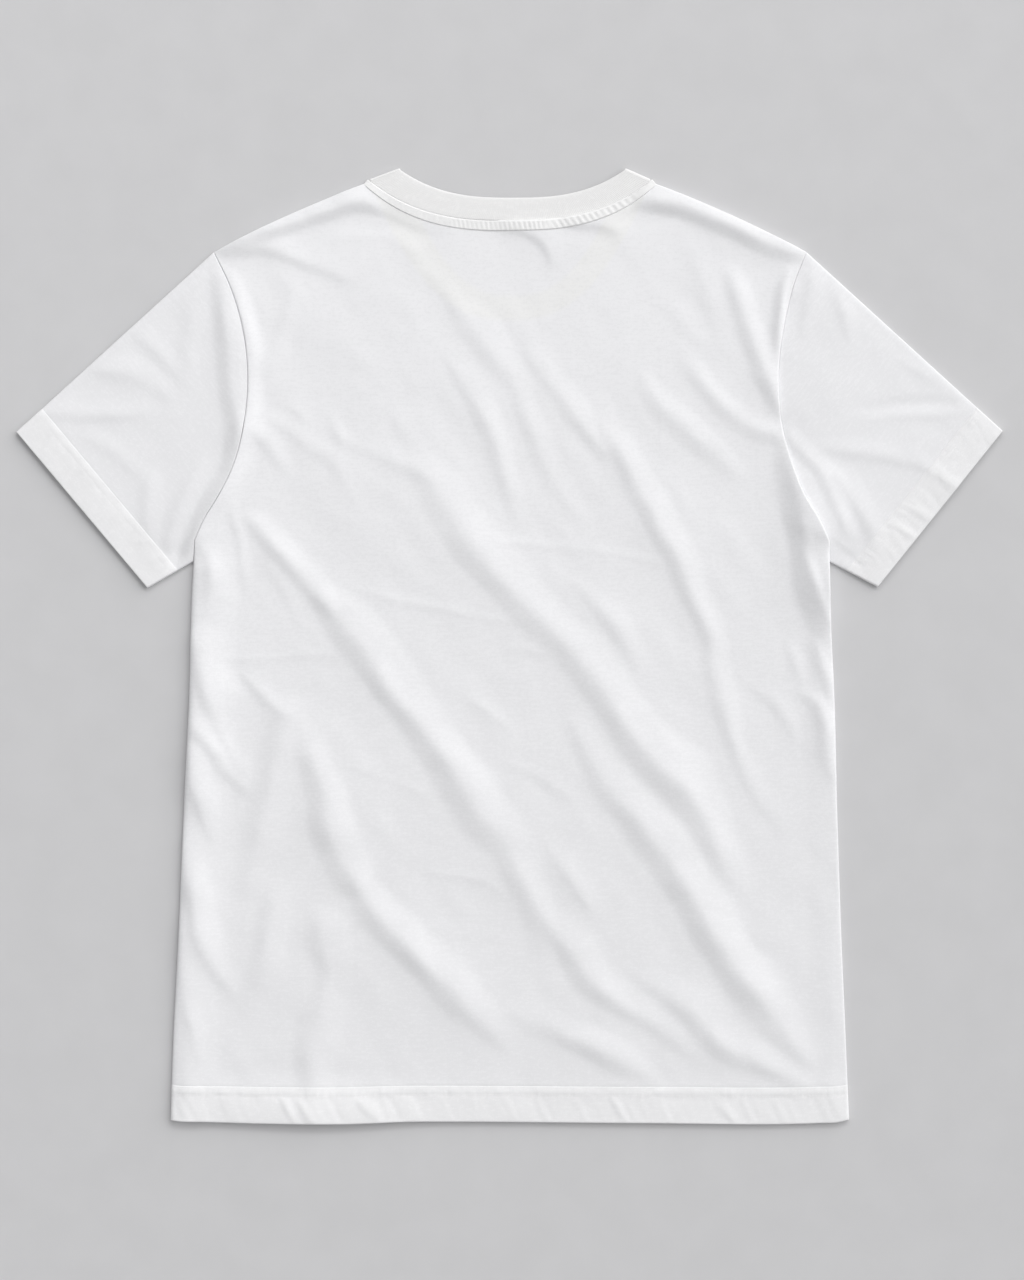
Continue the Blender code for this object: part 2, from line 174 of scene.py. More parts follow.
bodyFolds = {
    "left armhole to hem": (18, 26, [
        (-151, 419, 0), (-142, 405, 2.2), (-131, 390, 3.7), (-114, 372, 4), (-92, 340, 4.2),
        (-76, 320, 4.2), (-62, 300, 4.2), (-47, 280, 4.2), (-35, 260, 4), (-24, 240, 3.4),
        (-7, 222, 2.6), (3, 205, 2.4), (12, 187, 2.4), (18, 171, 2.2), (22, 155, 1.6), (25, 140, 0.8),
        (27, 124, 0)]),
    "left armhole to hem, start": (11, 17, [
        (-206, 477, 0), (-198, 468, 1.7), (-187, 456, 2.3), (-173, 441, 2.6), (-159, 425, 2.7),
        (-148, 411, 2.5), (-140, 401, 1.3), (-136, 394, 0)]),
    "its lower half": (14, 21, [
        (18, 184, 0), (23, 170, 0.9), (30, 157, 1.5), (39, 145, 2.1), (48, 134, 2.6), (59, 119, 2.8),
        (73, 105, 2.6), (90, 93, 2.2), (108, 81, 1.6), (125, 68, 1.2), (138, 57, 0.7), (148, 47, 0)]),
    "across the middle, start": (6, 14, [
        (-138, 540, 0), (-122, 529, 0.4), (-105, 521, 0.5), (-88, 514, 0.6), (-74, 508, 0.5),
        (-62, 500, 0.2), (-55, 494, 0)]),
    "across the middle": (19, 29, [
        (-84, 522, 0), (-72, 512, 1), (-58, 497, 1.9), (-48, 480, 2.6), (-38, 463, 3), (-29, 450, 3.4),
        (-18, 436, 3.2), (-4, 420, 2.8), (15, 401, 2.4), (30, 387, 2.4), (42, 375, 2.8), (55, 361, 3.2),
        (68, 345, 3.6), (80, 328, 4), (92, 311, 4.4), (102, 297, 4.6), (112, 285, 4.6), (125, 272, 4.2),
        (137, 260, 3.8), (147, 246, 3.4), (155, 230, 3), (162, 214, 2.2), (170, 196, 1.2),
        (178, 178, 0.4), (182, 168, 0)]),
    "lower right": (17, 25, [
        (47, 320, 0), (54, 304, 1), (61, 290, 1.6), (68, 278, 2), (76, 265, 2.4), (88, 250, 3),
        (100, 237, 3.4), (112, 222, 3.8), (124, 207, 4), (133, 192, 4), (141, 178, 4), (150, 163, 4.2),
        (160, 147, 4.4), (172, 130, 4.4), (183, 113, 4.2), (194, 98, 3.8), (204, 84, 3), (214, 71, 2.2),
        (223, 60, 1.4), (231, 51, 0.7), (238, 42, 0)]),
    "left hip to hem": (16, 23, [
        (-162, 318, 0), (-158, 303, 1), (-153, 284, 2.2), (-148, 268, 2.8), (-144, 252, 3.2),
        (-142, 238, 3.5), (-139, 224, 3.8), (-134, 211, 3.8), (-128, 198, 3.8), (-120, 187, 3),
        (-112, 180, 0)]),
    "left hip to hem, lower": (15, 23, [
        (-125, 194, 0), (-117, 183, 1.5), (-107, 168, 3), (-96, 156, 3.2), (-83, 144, 3.4),
        (-72, 131, 3.6), (-60, 118, 3.6), (-46, 106, 3.4), (-34, 91, 2.8), (-20, 78, 1.8), (-7, 65, 1),
        (2, 54, 0)]),
    "low middle": (14, 18, [
        (-10, 90, 0), (8, 84, 0.6), (25, 78, 1), (40, 72, 1.8), (55, 65, 2.4), (70, 57, 2.6),
        (85, 50, 2.4), (100, 42, 1.6), (112, 35, 0.6), (120, 30, 0)]),
    "low right": (14, 20, [
        (95, 125, 0), (108, 112, 0.8), (120, 103, 1.2), (132, 95, 2), (143, 87, 2.8), (153, 76, 3.2),
        (163, 66, 3.2), (176, 56, 3), (190, 49, 2.6), (204, 42, 2), (217, 36, 1.4), (228, 31, 0.6),
        (234, 28, 0)]),
    "spine": (13, 18, [
        (-92, 700, 0), (-78, 683, 0.3), (-64, 666, 0.3), (-52, 653, 0.6), (-42, 640, 1.1),
        (-34, 628, 1.7), (-24, 616, 2), (-15, 603, 1.9), (-6, 590, 1.6), (2, 578, 1.3), (8, 566, 1.1),
        (13, 552, 1.2), (18, 538, 1.4), (23, 524, 1.4), (28, 512, 1.2), (36, 498, 1), (44, 486, 0.7),
        (53, 472, 0.3), (60, 460, 0)]),
    "beside the spine": (11, 16, [
        (-50, 604, 0), (-43, 591, 0.6), (-35, 577, 1.2), (-27, 565, 1.7), (-20, 552, 2), (-14, 540, 2),
        (-9, 526, 1.9), (-5, 512, 1.6), (-1, 499, 1.2), (3, 486, 0.8), (8, 470, 0.3), (11, 460, 0)]),
    "right blade, first": (12, 17, [
        (10, 608, 0), (19, 595, 0.6), (27, 583, 1.1), (35, 573, 1.5), (44, 562, 1.9), (52, 551, 2),
        (60, 541, 1.6), (69, 530, 1), (76, 520, 0.4), (80, 512, 0)]),
    "right blade": (12, 18, [
        (66, 566, 0), (73, 551, 0.8), (79, 538, 1.5), (85, 526, 2), (92, 512, 2.3), (99, 498, 2.6),
        (106, 485, 2.8), (114, 470, 3), (122, 457, 3), (130, 445, 2.8), (137, 430, 2.4),
        (141, 416, 2.3), (147, 402, 2.3), (153, 388, 2.3), (158, 374, 2.3), (159, 360, 2.3),
        (162, 346, 2.1), (165.5, 330, 1.9), (169, 316, 1.7), (173, 302, 1.6), (178, 288, 1.3),
        (183, 274, 1), (190, 259, 0.8), (197, 247, 0.5), (207, 235, 0.3), (212, 226, 0)]),
    "upper right": (12, 14, [
        (133, 596, 0), (142, 588, 0.7), (150, 578, 1.1), (158, 568, 1.4), (168, 557, 1.7),
        (180, 548, 1.9), (192, 542, 2), (203, 538, 1.7), (211, 535, 0.8), (214, 533, 0)]),
    "upper right, inner": (13, 14, [
        (97, 590, 0), (106, 578, 0.7), (114, 566, 1.2), (122, 556, 1.6), (132, 546, 1.9),
        (143, 536, 1.9), (154, 527, 1.6), (165, 518, 1.1), (174, 508, 0.5), (181, 498, 0)]),
    "right shoulder": (13, 17, [
        (170, 668, 0), (175, 652, 1.4), (182, 630, 2.4), (190, 608, 3.2), (199, 587, 3.4),
        (206, 568, 2.6), (211, 556, 1), (213, 550, 0)]),
    "right armpit": (18, 90, [
        (213, 538, 0), (217, 522, 2.6), (221, 505, 5), (224.5, 488, 6.8), (228.5, 472, 8),
        (232, 458, 8.5), (232.5, 446, 8.5), (233, 432, 7.8), (236, 418, 6.8), (240, 405, 5.8),
        (244, 392, 4.2), (247, 380, 2.4), (250, 368, 0.7), (251, 360, 0)]),
    "along the right shoulder": (11.5, 14, [
        (96, 714, 0), (108, 718.5, 2.6), (122, 719, 3.7), (142, 712, 3.9), (164, 703, 4),
        (184, 694.5, 3.8), (204, 685.5, 3.5), (220, 679.5, 2.8), (231, 677.5, 1.3), (237, 674.5, 0)]),
    "along the left shoulder": (20, 10, [
        (-98, 712, 0), (-110, 717, 2), (-125, 717, 3.5), (-142, 711.5, 4.4), (-160, 706, 5),
        (-178, 699.5, 4.5), (-196, 692.5, 3.5), (-208, 687, 2.1), (-218, 683, 0)]),
    "below the left shoulder": (8, 28, [
        (-229, 678, 0), (-220, 681, 2), (-204, 682, 2.8), (-187, 680.5, 2.6), (-172, 676, 2),
        (-157, 670, 1.7), (-142, 664.5, 1.1), (-128, 659, 0.5), (-116, 654, 0)]),
    "along the left armhole": (14, 20, [
        (-226, 674, 0), (-217, 657, 1), (-210, 636, 1.7), (-205, 612, 2), (-203, 590, 1.9),
        (-203, 570, 1.8), (-205, 552, 2.4), (-210, 530, 3.8), (-217, 510, 4.8), (-225, 493, 5.3),
        (-235, 477, 5.2), (-244, 461, 4.2), (-248, 449, 2.3), (-249, 438, 0)]),
    # troughs beside the neck's seam
    "right of the neck": (16, 8, [
        (76, 700, 0), (88, 704, -0.8), (100, 707, -1.2), (114, 708, -1.2), (128, 706, -0.9),
        (142, 701, -0.5), (156, 694, 0)]),
    "left of the neck": (16, 9, [
        (-158, 693, 0), (-142, 700, -0.7), (-125, 705, -1.2), (-108, 705, -1.3), (-92, 701, -1.2),
        (-77, 695, -0.9), (-62, 691, -0.5), (-52, 689, 0)]),
    "below the nape": (4.5, 55, [
        (-12, 695.5, 0), (0, 696.5, 1), (10, 695, 1.7), (20, 690.5, 2), (28, 683.5, 1.8),
        (33, 674.5, 1.1), (36, 663.5, 0)]),
    "right of the nape": (4.5, 45, [
        (40, 698, 0), (50, 699.5, 1.3), (62, 700, 2.1), (74, 698.5, 2), (83, 694.5, 1.1),
        (89, 688, 0)]),
    # smaller ones
    "near the right armhole": (8, 5, [
        (222, 668, 0), (217, 656, 2), (213, 638, 2.8), (209.5, 618, 2.5), (208, 601, 1.1),
        (208, 592, 0)]),
    "left shoulder": (9, 14, [
        (-166, 656, 0), (-170, 640, 0.6), (-176, 622, 0.9), (-183, 605, 0.9), (-189, 590, 0.6),
        (-194, 576, 0)]),
    "left blade": (7, 13, [
        (-196, 553, 0), (-184, 548, 0.4), (-172, 541, 0.6), (-160, 531, 0.8), (-150, 523, 0.8),
        (-138, 517, 0.8), (-130, 503, 0.8), (-123, 488, 0.4), (-118, 474, 0)]),
    "left blade, hook": (4.5, 5, [(-174, 558, 0), (-166, 556, 0.4), (-160, 549, 0.4), (-160, 540, 0)]),
    "left blade, inner": (6, 7, [(-141, 558, 0), (-137, 545, 0.5), (-131, 533, 0.5), (-128, 522, 0)]),
    "left upper arm": (6, 13, [
        (-202, 546, 0), (-195, 538, 1.1), (-187, 527, 1.3), (-180, 516, 0.9), (-172, 504, 0)]),
    "left, above the spine's fold": (8, 12, [
        (-95, 568, 0), (-90, 555, 0.4), (-82, 538, 0.5), (-76, 522, 0)]),
    "left, under the arm": (4.5, 5.5, [
        (-217, 492, 0), (-213, 470, 0.9), (-209, 447, 1.1), (-206, 427, 0.7), (-205, 410, 0)]),
    "left underarm pucker": (9, 38, [
        (-246, 455, 0), (-239, 449, 1.3), (-233, 441, 2), (-230.5, 430, 2), (-231, 417, 1.1),
        (-233, 404, 0.5), (-235, 392, 0)]),
    "under the long fold": (7, 12, [
        (-196, 446, 0), (-184, 430, 0.4), (-173, 412, 0.5), (-166, 393, 0.3), (-160, 380, 0)]),
    "middle, short": (11, 16, [
        (45, 425, 0), (56, 416, 0.6), (66, 406, 1.2), (75, 396, 1.5), (84, 384, 1.6), (92, 371, 1.2),
        (98, 358, 0.6), (101, 348, 0)]),
    "crossing, upper": (3.2, 4, [
        (-14, 456, 0), (0, 453, 0.3), (24, 450, 0.3), (52, 447, 0.3), (80, 444, 0.3), (105, 440, 0.3),
        (122, 436, 0.2), (130, 433, 0)]),
    "crossing, lower": (4, 5.5, [
        (-124, 416, 0), (-110, 413, 0.3), (-82, 407, 0.5), (-50, 401, 0.5), (-7, 393, 0.3),
        (20, 390, 0)]),
    "middle, dash": (4, 6, [(-8, 373, 0), (4, 370, 0.4), (24, 366, 0.3), (36, 361, 0)]),
    "left of middle, dash": (5, 8, [(-38, 334, 0), (-26, 327, 0.4), (-6, 312, 0.4), (6, 302, 0)]),
    "belly, dash": (5, 8, [(-8, 285, 0), (6, 278, 0.4), (22, 270, 0.4), (38, 260, 0.4), (54, 249, 0)]),
    "belly, left": (4, 6, [
        (-128, 282, 0), (-112, 274, 0.3), (-92, 267, 0.3), (-76, 261, 0.3), (-62, 254, 0.2),
        (-55, 250, 0)]),
    "low belly, dash": (3.5, 5, [
        (-74, 198, 0), (-60, 196, 0.3), (-40, 193, 0.4), (-22, 189, 0.4), (-8, 182, 0.3), (0, 175, 0)]),
    "low belly, light": (7, 13, [
        (28, 216, 0), (38, 203, 0.7), (50, 187, 0.9), (60, 172, 0.8), (68, 158, 0)]),
    "left side, upper": (9, 35, [
        (-250, 388, 0), (-247, 377, 1.4), (-243, 362, 2), (-239, 345, 2.3), (-233, 327, 2.3),
        (-226, 310, 1.9), (-219, 295, 1.2), (-212, 282, 0.5), (-208, 272, 0)]),
    "left side, pinch": (8, 19, [
        (-251, 318, 0), (-244, 308, 1.3), (-236, 298, 1.8), (-228, 287, 2), (-220, 277, 1.8),
        (-211, 268, 1.3), (-203, 260, 0.5), (-198, 254, 0)]),
    "left edge, middle": (4, 17, [
        (-252, 300, 0), (-250, 288, 1), (-247, 268, 1.4), (-243, 250, 1.4), (-238, 236, 1),
        (-232, 222, 0.4), (-228, 212, 0)]),
    "left side, short": (6, 8, [
        (-214, 356, 0), (-205, 347, 0.6), (-196, 337, 1), (-186, 327, 1), (-177, 320, 0.7),
        (-170, 316, 0.2), (-167, 314, 0)]),
    "left, tall and soft": (15, 23, [
        (-171, 336, 0), (-174, 320, 1.5), (-178, 300, 2.1), (-182, 280, 2.3), (-186, 260, 2.3),
        (-191, 240, 2.1), (-196, 220, 1.7), (-200, 203, 1.2), (-203, 188, 0.6), (-205, 175, 0)]),
    "left side, lower": (9, 20, [
        (-256, 240, 0), (-254, 225, 1), (-251.5, 205, 2), (-249.5, 188, 2.6), (-246, 168, 2.8),
        (-241, 150, 2.6), (-234, 132, 2), (-226, 116, 1.2), (-218, 104, 0.5), (-213, 98, 0)]),
    "left edge, low": (4, 13, [
        (-261, 175, 0), (-259, 150, 0.6), (-256, 120, 0.8), (-253, 95, 0.8), (-249, 75, 0.7),
        (-245, 58, 0.4), (-240, 45, 0)]),
    "left, low and soft": (13, 21, [
        (-181, 192, 0), (-183, 175, 0.9), (-186, 155, 1.4), (-190, 135, 1.5), (-195, 115, 1.2),
        (-200, 98, 0.7), (-204, 84, 0)]),
    "left, upright pinch": (16, 25, [
        (-149, 172, 0), (-147, 158, 1.4), (-145, 143, 2), (-143, 128, 2), (-141, 114, 1.5),
        (-144, 98, 1.4), (-149, 82, 1.7), (-153, 64, 2), (-155, 47, 2.2), (-154, 33, 1.9),
        (-152, 20, 1.2), (-151, 6, 0.6)]),
    "left waist, dash": (4, 5, [
        (-230, 364, 0), (-220, 362, 0.4), (-200, 362, 0.4), (-172, 365, 0.4), (-146, 366, 0.3),
        (-124, 364, 0)]),
    "right underarm sliver": (4.5, 5, [
        (227, 452, 0), (231, 438, 1.2), (236, 425, 1.6), (241, 411, 1.6), (246, 396, 1.1),
        (249, 384, 0)]),
    "right underarm edge": (7, 4.5, [
        (244, 453, 0), (247, 440, 1.2), (249, 425, 1.6), (250, 410, 1), (251, 400, 0)]),
    "right edge": (8, 7, [
        (235, 379, 0), (241, 368, 1.3), (246, 354, 1.7), (249, 342, 1.3), (250, 332, 0.5),
        (251, 325, 0)]),
    "right edge, lower": (10, 8, [
        (223, 337, 0), (231, 334, 0.9), (240, 328, 1.7), (246, 314, 2.1), (248, 298, 2.1),
        (250, 284, 1.6), (253, 272, 0.8), (254, 262, 0)]),
    "right edge, inner": (6, 8, [
        (215, 379, 0), (222, 364, 0.9), (226, 350, 1), (228, 340, 0.5), (229, 332, 0)]),
    "right waist, soft": (8, 12, [
        (178, 351, 0), (188, 343, 0.5), (200, 334, 0.9), (210, 322, 1), (218, 308, 0.7),
        (223, 295, 0)]),
    "right blade, high": (10, 17, [
        (136, 695, 0), (146, 672, 0.6), (155, 645, 0.6), (165, 615, 0.6), (175, 590, 0)]),
    "right blade, top": (9, 16, [
        (118, 640, 0), (130, 630, 0.4), (142, 618, 0.5), (153, 606, 0.5), (164, 588, 0)]),
    "hem, left pucker": (4, 5.5, [(-179, 22, 0), (-176, 18, 0.8), (-171, 9, 0.9), (-166, 2, 0.5)]),
    "hem, left pucker, second": (4, 5.5, [(-167, 22, 0), (-163, 17, 0.6), (-157, 8, 0.7), (-152, 2, 0.3)]),
    "hem, wide pucker": (5, 12, [(-120, 21, 0), (-116, 17, 0.6), (-110, 9, 0.8), (-104, 2, 0.4)]),
    "hem, right pucker": (4, 5.5, [(76, 22, 0), (80, 17, 0.4), (86, 9, 0.5), (92, 2, 0.2)]),
    "hem, right end": (5, 7, [(160, 20, 0), (165, 14, 0.5), (174, 4, 0.4)]),
}
sleeveFolds = {
    "left, beside the armhole": (10.5, 34, [
        (-229, 676, 0), (-226, 660, 1.8), (-223, 640, 2.6), (-221, 620, 3), (-219.5, 600, 3.2),
        (-217.5, 580, 3.2), (-215, 562, 3.2), (-213, 548, 2.8), (-214, 534, 1.6), (-217, 520, 0)]),
    "left, beside the armpit": (13, 30, [
        (-208, 556, 0), (-208, 542, 2.5), (-209.5, 528, 4.7), (-213, 514, 6.5), (-219, 500, 7.3),
        (-227, 486, 7.3), (-236, 471, 6.6), (-243, 458, 5.2), (-250, 447, 3.1), (-255, 438, 1.3)]),
    "left, shoulder": (11, 13, [
        (-236, 672, 0), (-241, 655, 0.5), (-247, 635, 0.8), (-249, 612, 0.8), (-250, 590, 0.5),
        (-250, 572, 0)]),
    "left, upper": (8, 16, [
        (-334, 592, 0.6), (-322, 589, 1.2), (-306, 586, 1.4), (-291, 581, 1.3), (-278, 574, 0.9),
        (-266, 566, 0.3), (-258, 560, 0)]),
    "left, upper, inner": (8, 13, [
        (-304, 624, 0), (-298, 620, 0.4), (-288, 612, 0.9), (-277, 604, 0.9), (-266, 593, 0.6),
        (-256, 580, 0.3), (-250, 570, 0)]),
    "left, low": (7, 13, [
        (-362, 553, 0.3), (-352, 553, 1), (-338, 551.5, 1.2), (-322, 551, 1.1), (-305, 551, 0.9),
        (-288, 553, 0.4), (-276, 555, 0)]),
    "left, middle": (9, 13, [
        (-345, 537, 0), (-330, 534, 0.4), (-312, 526, 0.6), (-296, 513, 0.6), (-286, 500, 0.4),
        (-280, 488, 0)]),
    "left, underarm": (9, 13, [
        (-238, 524, 0), (-242, 511, 1), (-249, 497, 1.7), (-257, 481, 1.9), (-262, 466, 1.6),
        (-265, 452, 0.9), (-266, 444, 0)]),
    "left, underarm, outer": (8, 13, [
        (-277, 512, 0), (-280, 500, 0.8), (-282, 485, 1.1), (-281, 470, 1), (-277, 457, 0.5),
        (-274, 448, 0)]),
    "left, tuck": (3, 9, [
        (-245, 468, 0), (-249, 460, -1.2), (-254, 452, -2), (-258, 445, -2), (-262, 437, -1.2),
        (-266, 429, -0.6)]),
    "right, shoulder, inner": (6, 12, [
        (236, 676, 0), (236, 665, 0.9), (235, 652, 1.1), (232, 637, 0.9), (229, 622, 0.5),
        (227, 610, 0)]),
    "right, shoulder": (7, 14, [
        (252, 664, 0), (254, 652, 0.7), (258, 638, 1), (262, 623, 0.9), (265, 609, 0.4),
        (266, 600, 0)]),
    "right, upper": (7, 23, [
        (298, 597, 0), (310, 592, 0.7), (322, 586, 1), (335, 578, 1), (347, 569, 0.8), (357, 561, 0.3),
        (362, 556, 0)]),
    "right, middle dip": (9, 5, [
        (262, 556, 0), (278, 558, -0.6), (300, 561, -0.8), (322, 562, -0.8), (342, 561, -0.6),
        (352, 560, 0)]),
    "right, middle": (6, 12, [
        (272, 545, 0), (290, 548, 0.4), (315, 551, 0.6), (340, 554, 0.6), (356, 556, 0.2),
        (362, 556, 0)]),
    "right, fan": (8, 16, [
        (236, 528, 0), (248, 526, 0.6), (262, 524, 1), (280, 521, 1.1), (298, 518, 1.1),
        (314, 514.5, 1), (328, 513, 0.5), (338, 514, 0)]),
    "right, underarm ridge": (8, 14, [
        (214, 540, 0), (221, 531, 1), (230, 522, 1.6), (239, 514, 1.8), (246, 502, 1.8),
        (252, 488, 1.5), (258, 474, 1.2), (263, 462, 0.7), (267, 452, 0)]),
    "right, underarm, outer": (10, 16, [
        (250, 512, 0), (258, 503, 0.8), (265, 491, 1.3), (273, 477, 1.6), (281, 463, 1.5),
        (284, 452, 1.1), (281, 443, 0.5), (276, 437, 0)]),
    "right, along the armpit": (14, 34, [
        (217, 520, 0), (224, 503, 2.4), (232, 487, 4), (241, 471, 4.6), (248, 458, 4.2),
        (251, 447, 2.6), (252, 439, 1.2)]),
    "right, seam knot": (3.5, 4, [
        (214, 660, 0), (218, 656, 1), (222, 652, 1.3), (220, 646, 1), (217, 640, 0)]),
    "right, underarm tuck": (5, 3, [
        (249, 457, 0), (254, 451, -0.6), (261, 444, -0.9), (268, 438, -0.8), (274, 434, -0.3)]),
    "right, cuff pucker": (7, 8, [(322, 512, 0.3), (332, 508, 0.7), (344, 499, 0.8), (352, 493, 0.7)]),
    "right, cuff pucker, second": (5, 7, [
        (302, 485, 0.2), (312, 480, 0.5), (324, 473, 0.6), (334, 468, 0.4)]),
    "right, cuff pucker, third": (5, 5.5, [
        (292, 472, 0.1), (300, 467, 0.4), (312, 459, 0.5), (322, 454, 0.3)]),
}
lattice = {"left": -400, "right": 400, "low": -20, "high": 770, "step": 1}
foldShape = {
    "lineStep": 3, "soften": 1,
    "narrow": 0.55,                    # a fold's width at its ends, as a share of its full width
    "crest": 0.2, "foot": 0.3,         # how rounded its top is, and how soft its foot
    "skirt": 0.2, "skirtReach": 2.3,   # the wide low foot that a fold spreads into
    # how far a fold's height, width and line vary; each noise has a seed, across, along and turn
    "waver": 0.28, "waverNoise": (71, 26, 26, 0),
    "breadth": 0.2, "breadthNoise": (73, 34, 34, 30),
    "stray": 1.5, "strayNoise": ((61, 24, 36, 0), (67, 24, 36, 90)),
}
unevenness = [                         # height, then the noise's seed, across, along and turn
    (0.8, 3, 80, 130, -50), (0.36, 5, 28, 90, -48), (0.2, 8, 13, 40, -55), (0.12, 13, 9, 16, 20),
    (0.045, 17, 4, 9, -50)]
noiseSize = 128


def blended(table, i, j, s, t):        # a table's value between its rows and columns
    low = table[i, j] * (1 - s) + table[i, j + 1] * s
    high = table[i + 1, j] * (1 - s) + table[i + 1, j + 1] * s
    return low * (1 - t) + high * t


def wander(x, up, seed, across, along, turn):   # smooth noise, stretched along one direction
    table = np.random.default_rng(seed).uniform(-1, 1, (noiseSize, noiseSize))
    cosine, sine = math.cos(math.radians(turn)), math.sin(math.radians(turn))
    u = (x * cosine + up * sine) / along + noiseSize / 2
    v = (up * cosine - x * sine) / across + noiseSize / 2
    i, j = np.floor(v).astype(int), np.floor(u).astype(int)
    s, t = smooth(u - j), smooth(v - i)
    return blended(table, i % (noiseSize - 1), j % (noiseSize - 1), s, t)


def uneven(x, up):
    return sum(height * wander(x, up, *noise) for height, *noise in unevenness)


def bump(apart, half):                 # 1 at the middle of a soft ridge, 0 past its half width
    return (1 - np.clip(np.abs(apart) / half, 0, 1) ** 2) ** 2


def flank(share):                      # 1 at a fold's crest, falling evenly to 0 at its half width
    crest, foot = foldShape["crest"], foldShape["foot"]
    left = np.clip(1 - (np.hypot(share, crest) - crest) / (math.hypot(1, crest) - crest), 0, 1)
    return left**2 * (1 + foot) / (left + foot)


def softened(relief, radius):
    offsets = np.arange(-3 * radius, 3 * radius + 1)
    weights = np.exp(-offsets**2 / (2 * radius**2))
    weights /= weights.sum()
    for axis in (0, 1):
        relief = sum(weight * np.roll(relief, int(offset), axis)
                     for weight, offset in zip(weights, offsets))
    return relief


# Heights of a set of folds over the whole garment, on the lattice. Each place takes its height
# and its share of the fold's width from the nearest piece of the fold's line.
def foldRelief(folds):
    x = np.arange(lattice["left"], lattice["right"] + 1, lattice["step"])
    up = np.arange(lattice["low"], lattice["high"] + 1, lattice["step"])
    relief = np.zeros((len(up), len(x)))
    tall = 1 + foldShape["waver"] * wander(x, up[:, None], *foldShape["waverNoise"])
    broad = 1 + foldShape["breadth"] * wander(x, up[:, None], *foldShape["breadthNoise"])
    for shaded, lit, places in folds.values():
        line = alongRows(places, foldShape["lineStep"])
        peak = np.abs(line[:, 2]).max()
        reach = max(shaded, lit) * foldShape["skirtReach"] + foldShape["lineStep"]
        nearest = np.full(relief.shape, 1e6)
        height, share = np.zeros(relief.shape), np.full(relief.shape, 9.0)
        for start, end in zip(line[:-1], line[1:]):
            low, high = np.minimum(start, end)[:2] - reach, np.maximum(start, end)[:2] + reach
            columns = slice(*np.searchsorted(x, (low[0], high[0])))
            rows = slice(*np.searchsorted(up, (low[1], high[1])))
            dx, dy = (end - start)[:2]
            offX, offY = x[None, columns] - start[0], up[rows, None] - start[1]
            along = np.clip((offX * dx + offY * dy) / (dx * dx + dy * dy), 0, 1)
            apart = np.hypot(offX - along * dx, offY - along * dy)
            closer = apart < nearest[rows, columns]
            crest = start[2] + along * (end[2] - start[2])
            wide = np.where(dy * offX - dx * offY > 0, shaded, lit)
            wide = wide * (foldShape["narrow"] + (1 - foldShape["narrow"]) * np.abs(crest) / peak)
            nearest[rows, columns][closer] = apart[closer]
            height[rows, columns][closer] = crest[closer]
            share[rows, columns][closer] = (apart / wide)[closer]
        relief += height * tall * ((1 - foldShape["skirt"]) * flank(share * broad)
                                   + foldShape["skirt"] * bump(share, foldShape["skirtReach"]))
    return softened(relief, foldShape["soften"])


def heightOn(relief, x, up):           # the lattice's height at any place
    aside, along = [foldShape["stray"] * wander(x, up, *noise) for noise in foldShape["strayNoise"]]
    u = (x + aside - lattice["left"]) / lattice["step"]
    v = (up + along - lattice["low"]) / lattice["step"]
    i = np.clip(v.astype(int), 0, relief.shape[0] - 2)
    j = np.clip(u.astype(int), 0, relief.shape[1] - 2)
    return blended(relief, i, j, u - j, v - i)


def turnedDown(apart, radius):         # how far cloth has dropped at a distance from its turned edge
    inward = 1 - np.clip(apart / radius, 0, 1)
    return radius * (1 - np.sqrt(1 - inward**2))


bodyRelief = foldRelief(bodyFolds)
sleeveRelief = foldRelief(sleeveFolds)
print("folds laid")


# Meshes of cloth. A grid's rows run up the garment and its columns to the right.

# Quads of a grid. Its last column may meet its first one, and its last row its first one.
def gridFaces(first, rows, columns, around=False, along=False):
    index = first + np.arange(rows * columns).reshape(rows, columns)
    if around:
        index = np.hstack([index, index[:, :1]])
    if along:
        index = np.vstack([index, index[:1]])
    quads = np.stack([index[:-1, :-1], index[:-1, 1:], index[1:, 1:], index[1:, :-1]], -1)
    return quads.reshape(-1, 4)


def borderOf(first, rows, columns):    # a grid's border, once round
    index = first + np.arange(rows * columns).reshape(rows, columns)
    return np.concatenate([index[0, :-1], index[:-1, -1], index[-1, :0:-1], index[:0:-1, 0]])


def stripBetween(upper, lower):        # quads between two loops of vertices
    return np.column_stack([upper, lower, np.roll(lower, -1), np.roll(upper, -1)])


def stripToHalf(fine, coarse):         # triangles between a loop and one with half its vertices
    a, b, c = fine[::2], fine[1::2], np.roll(fine[::2], -1)
    p, q = coarse, np.roll(coarse, -1)
    return np.vstack([np.column_stack(corners) for corners in ((a, p, b), (b, p, q), (b, q, c))])


def normalsOf(points):
    normals = np.cross(np.gradient(points, axis=1), np.gradient(points, axis=0))
    return normals / np.maximum(np.linalg.norm(normals, axis=-1), 1e-9)[..., None]


def inScene(name, data):               # an object of its own, at the origin
    made = bpy.data.objects.new(name, data)
    bpy.context.scene.collection.objects.link(made)
    return made


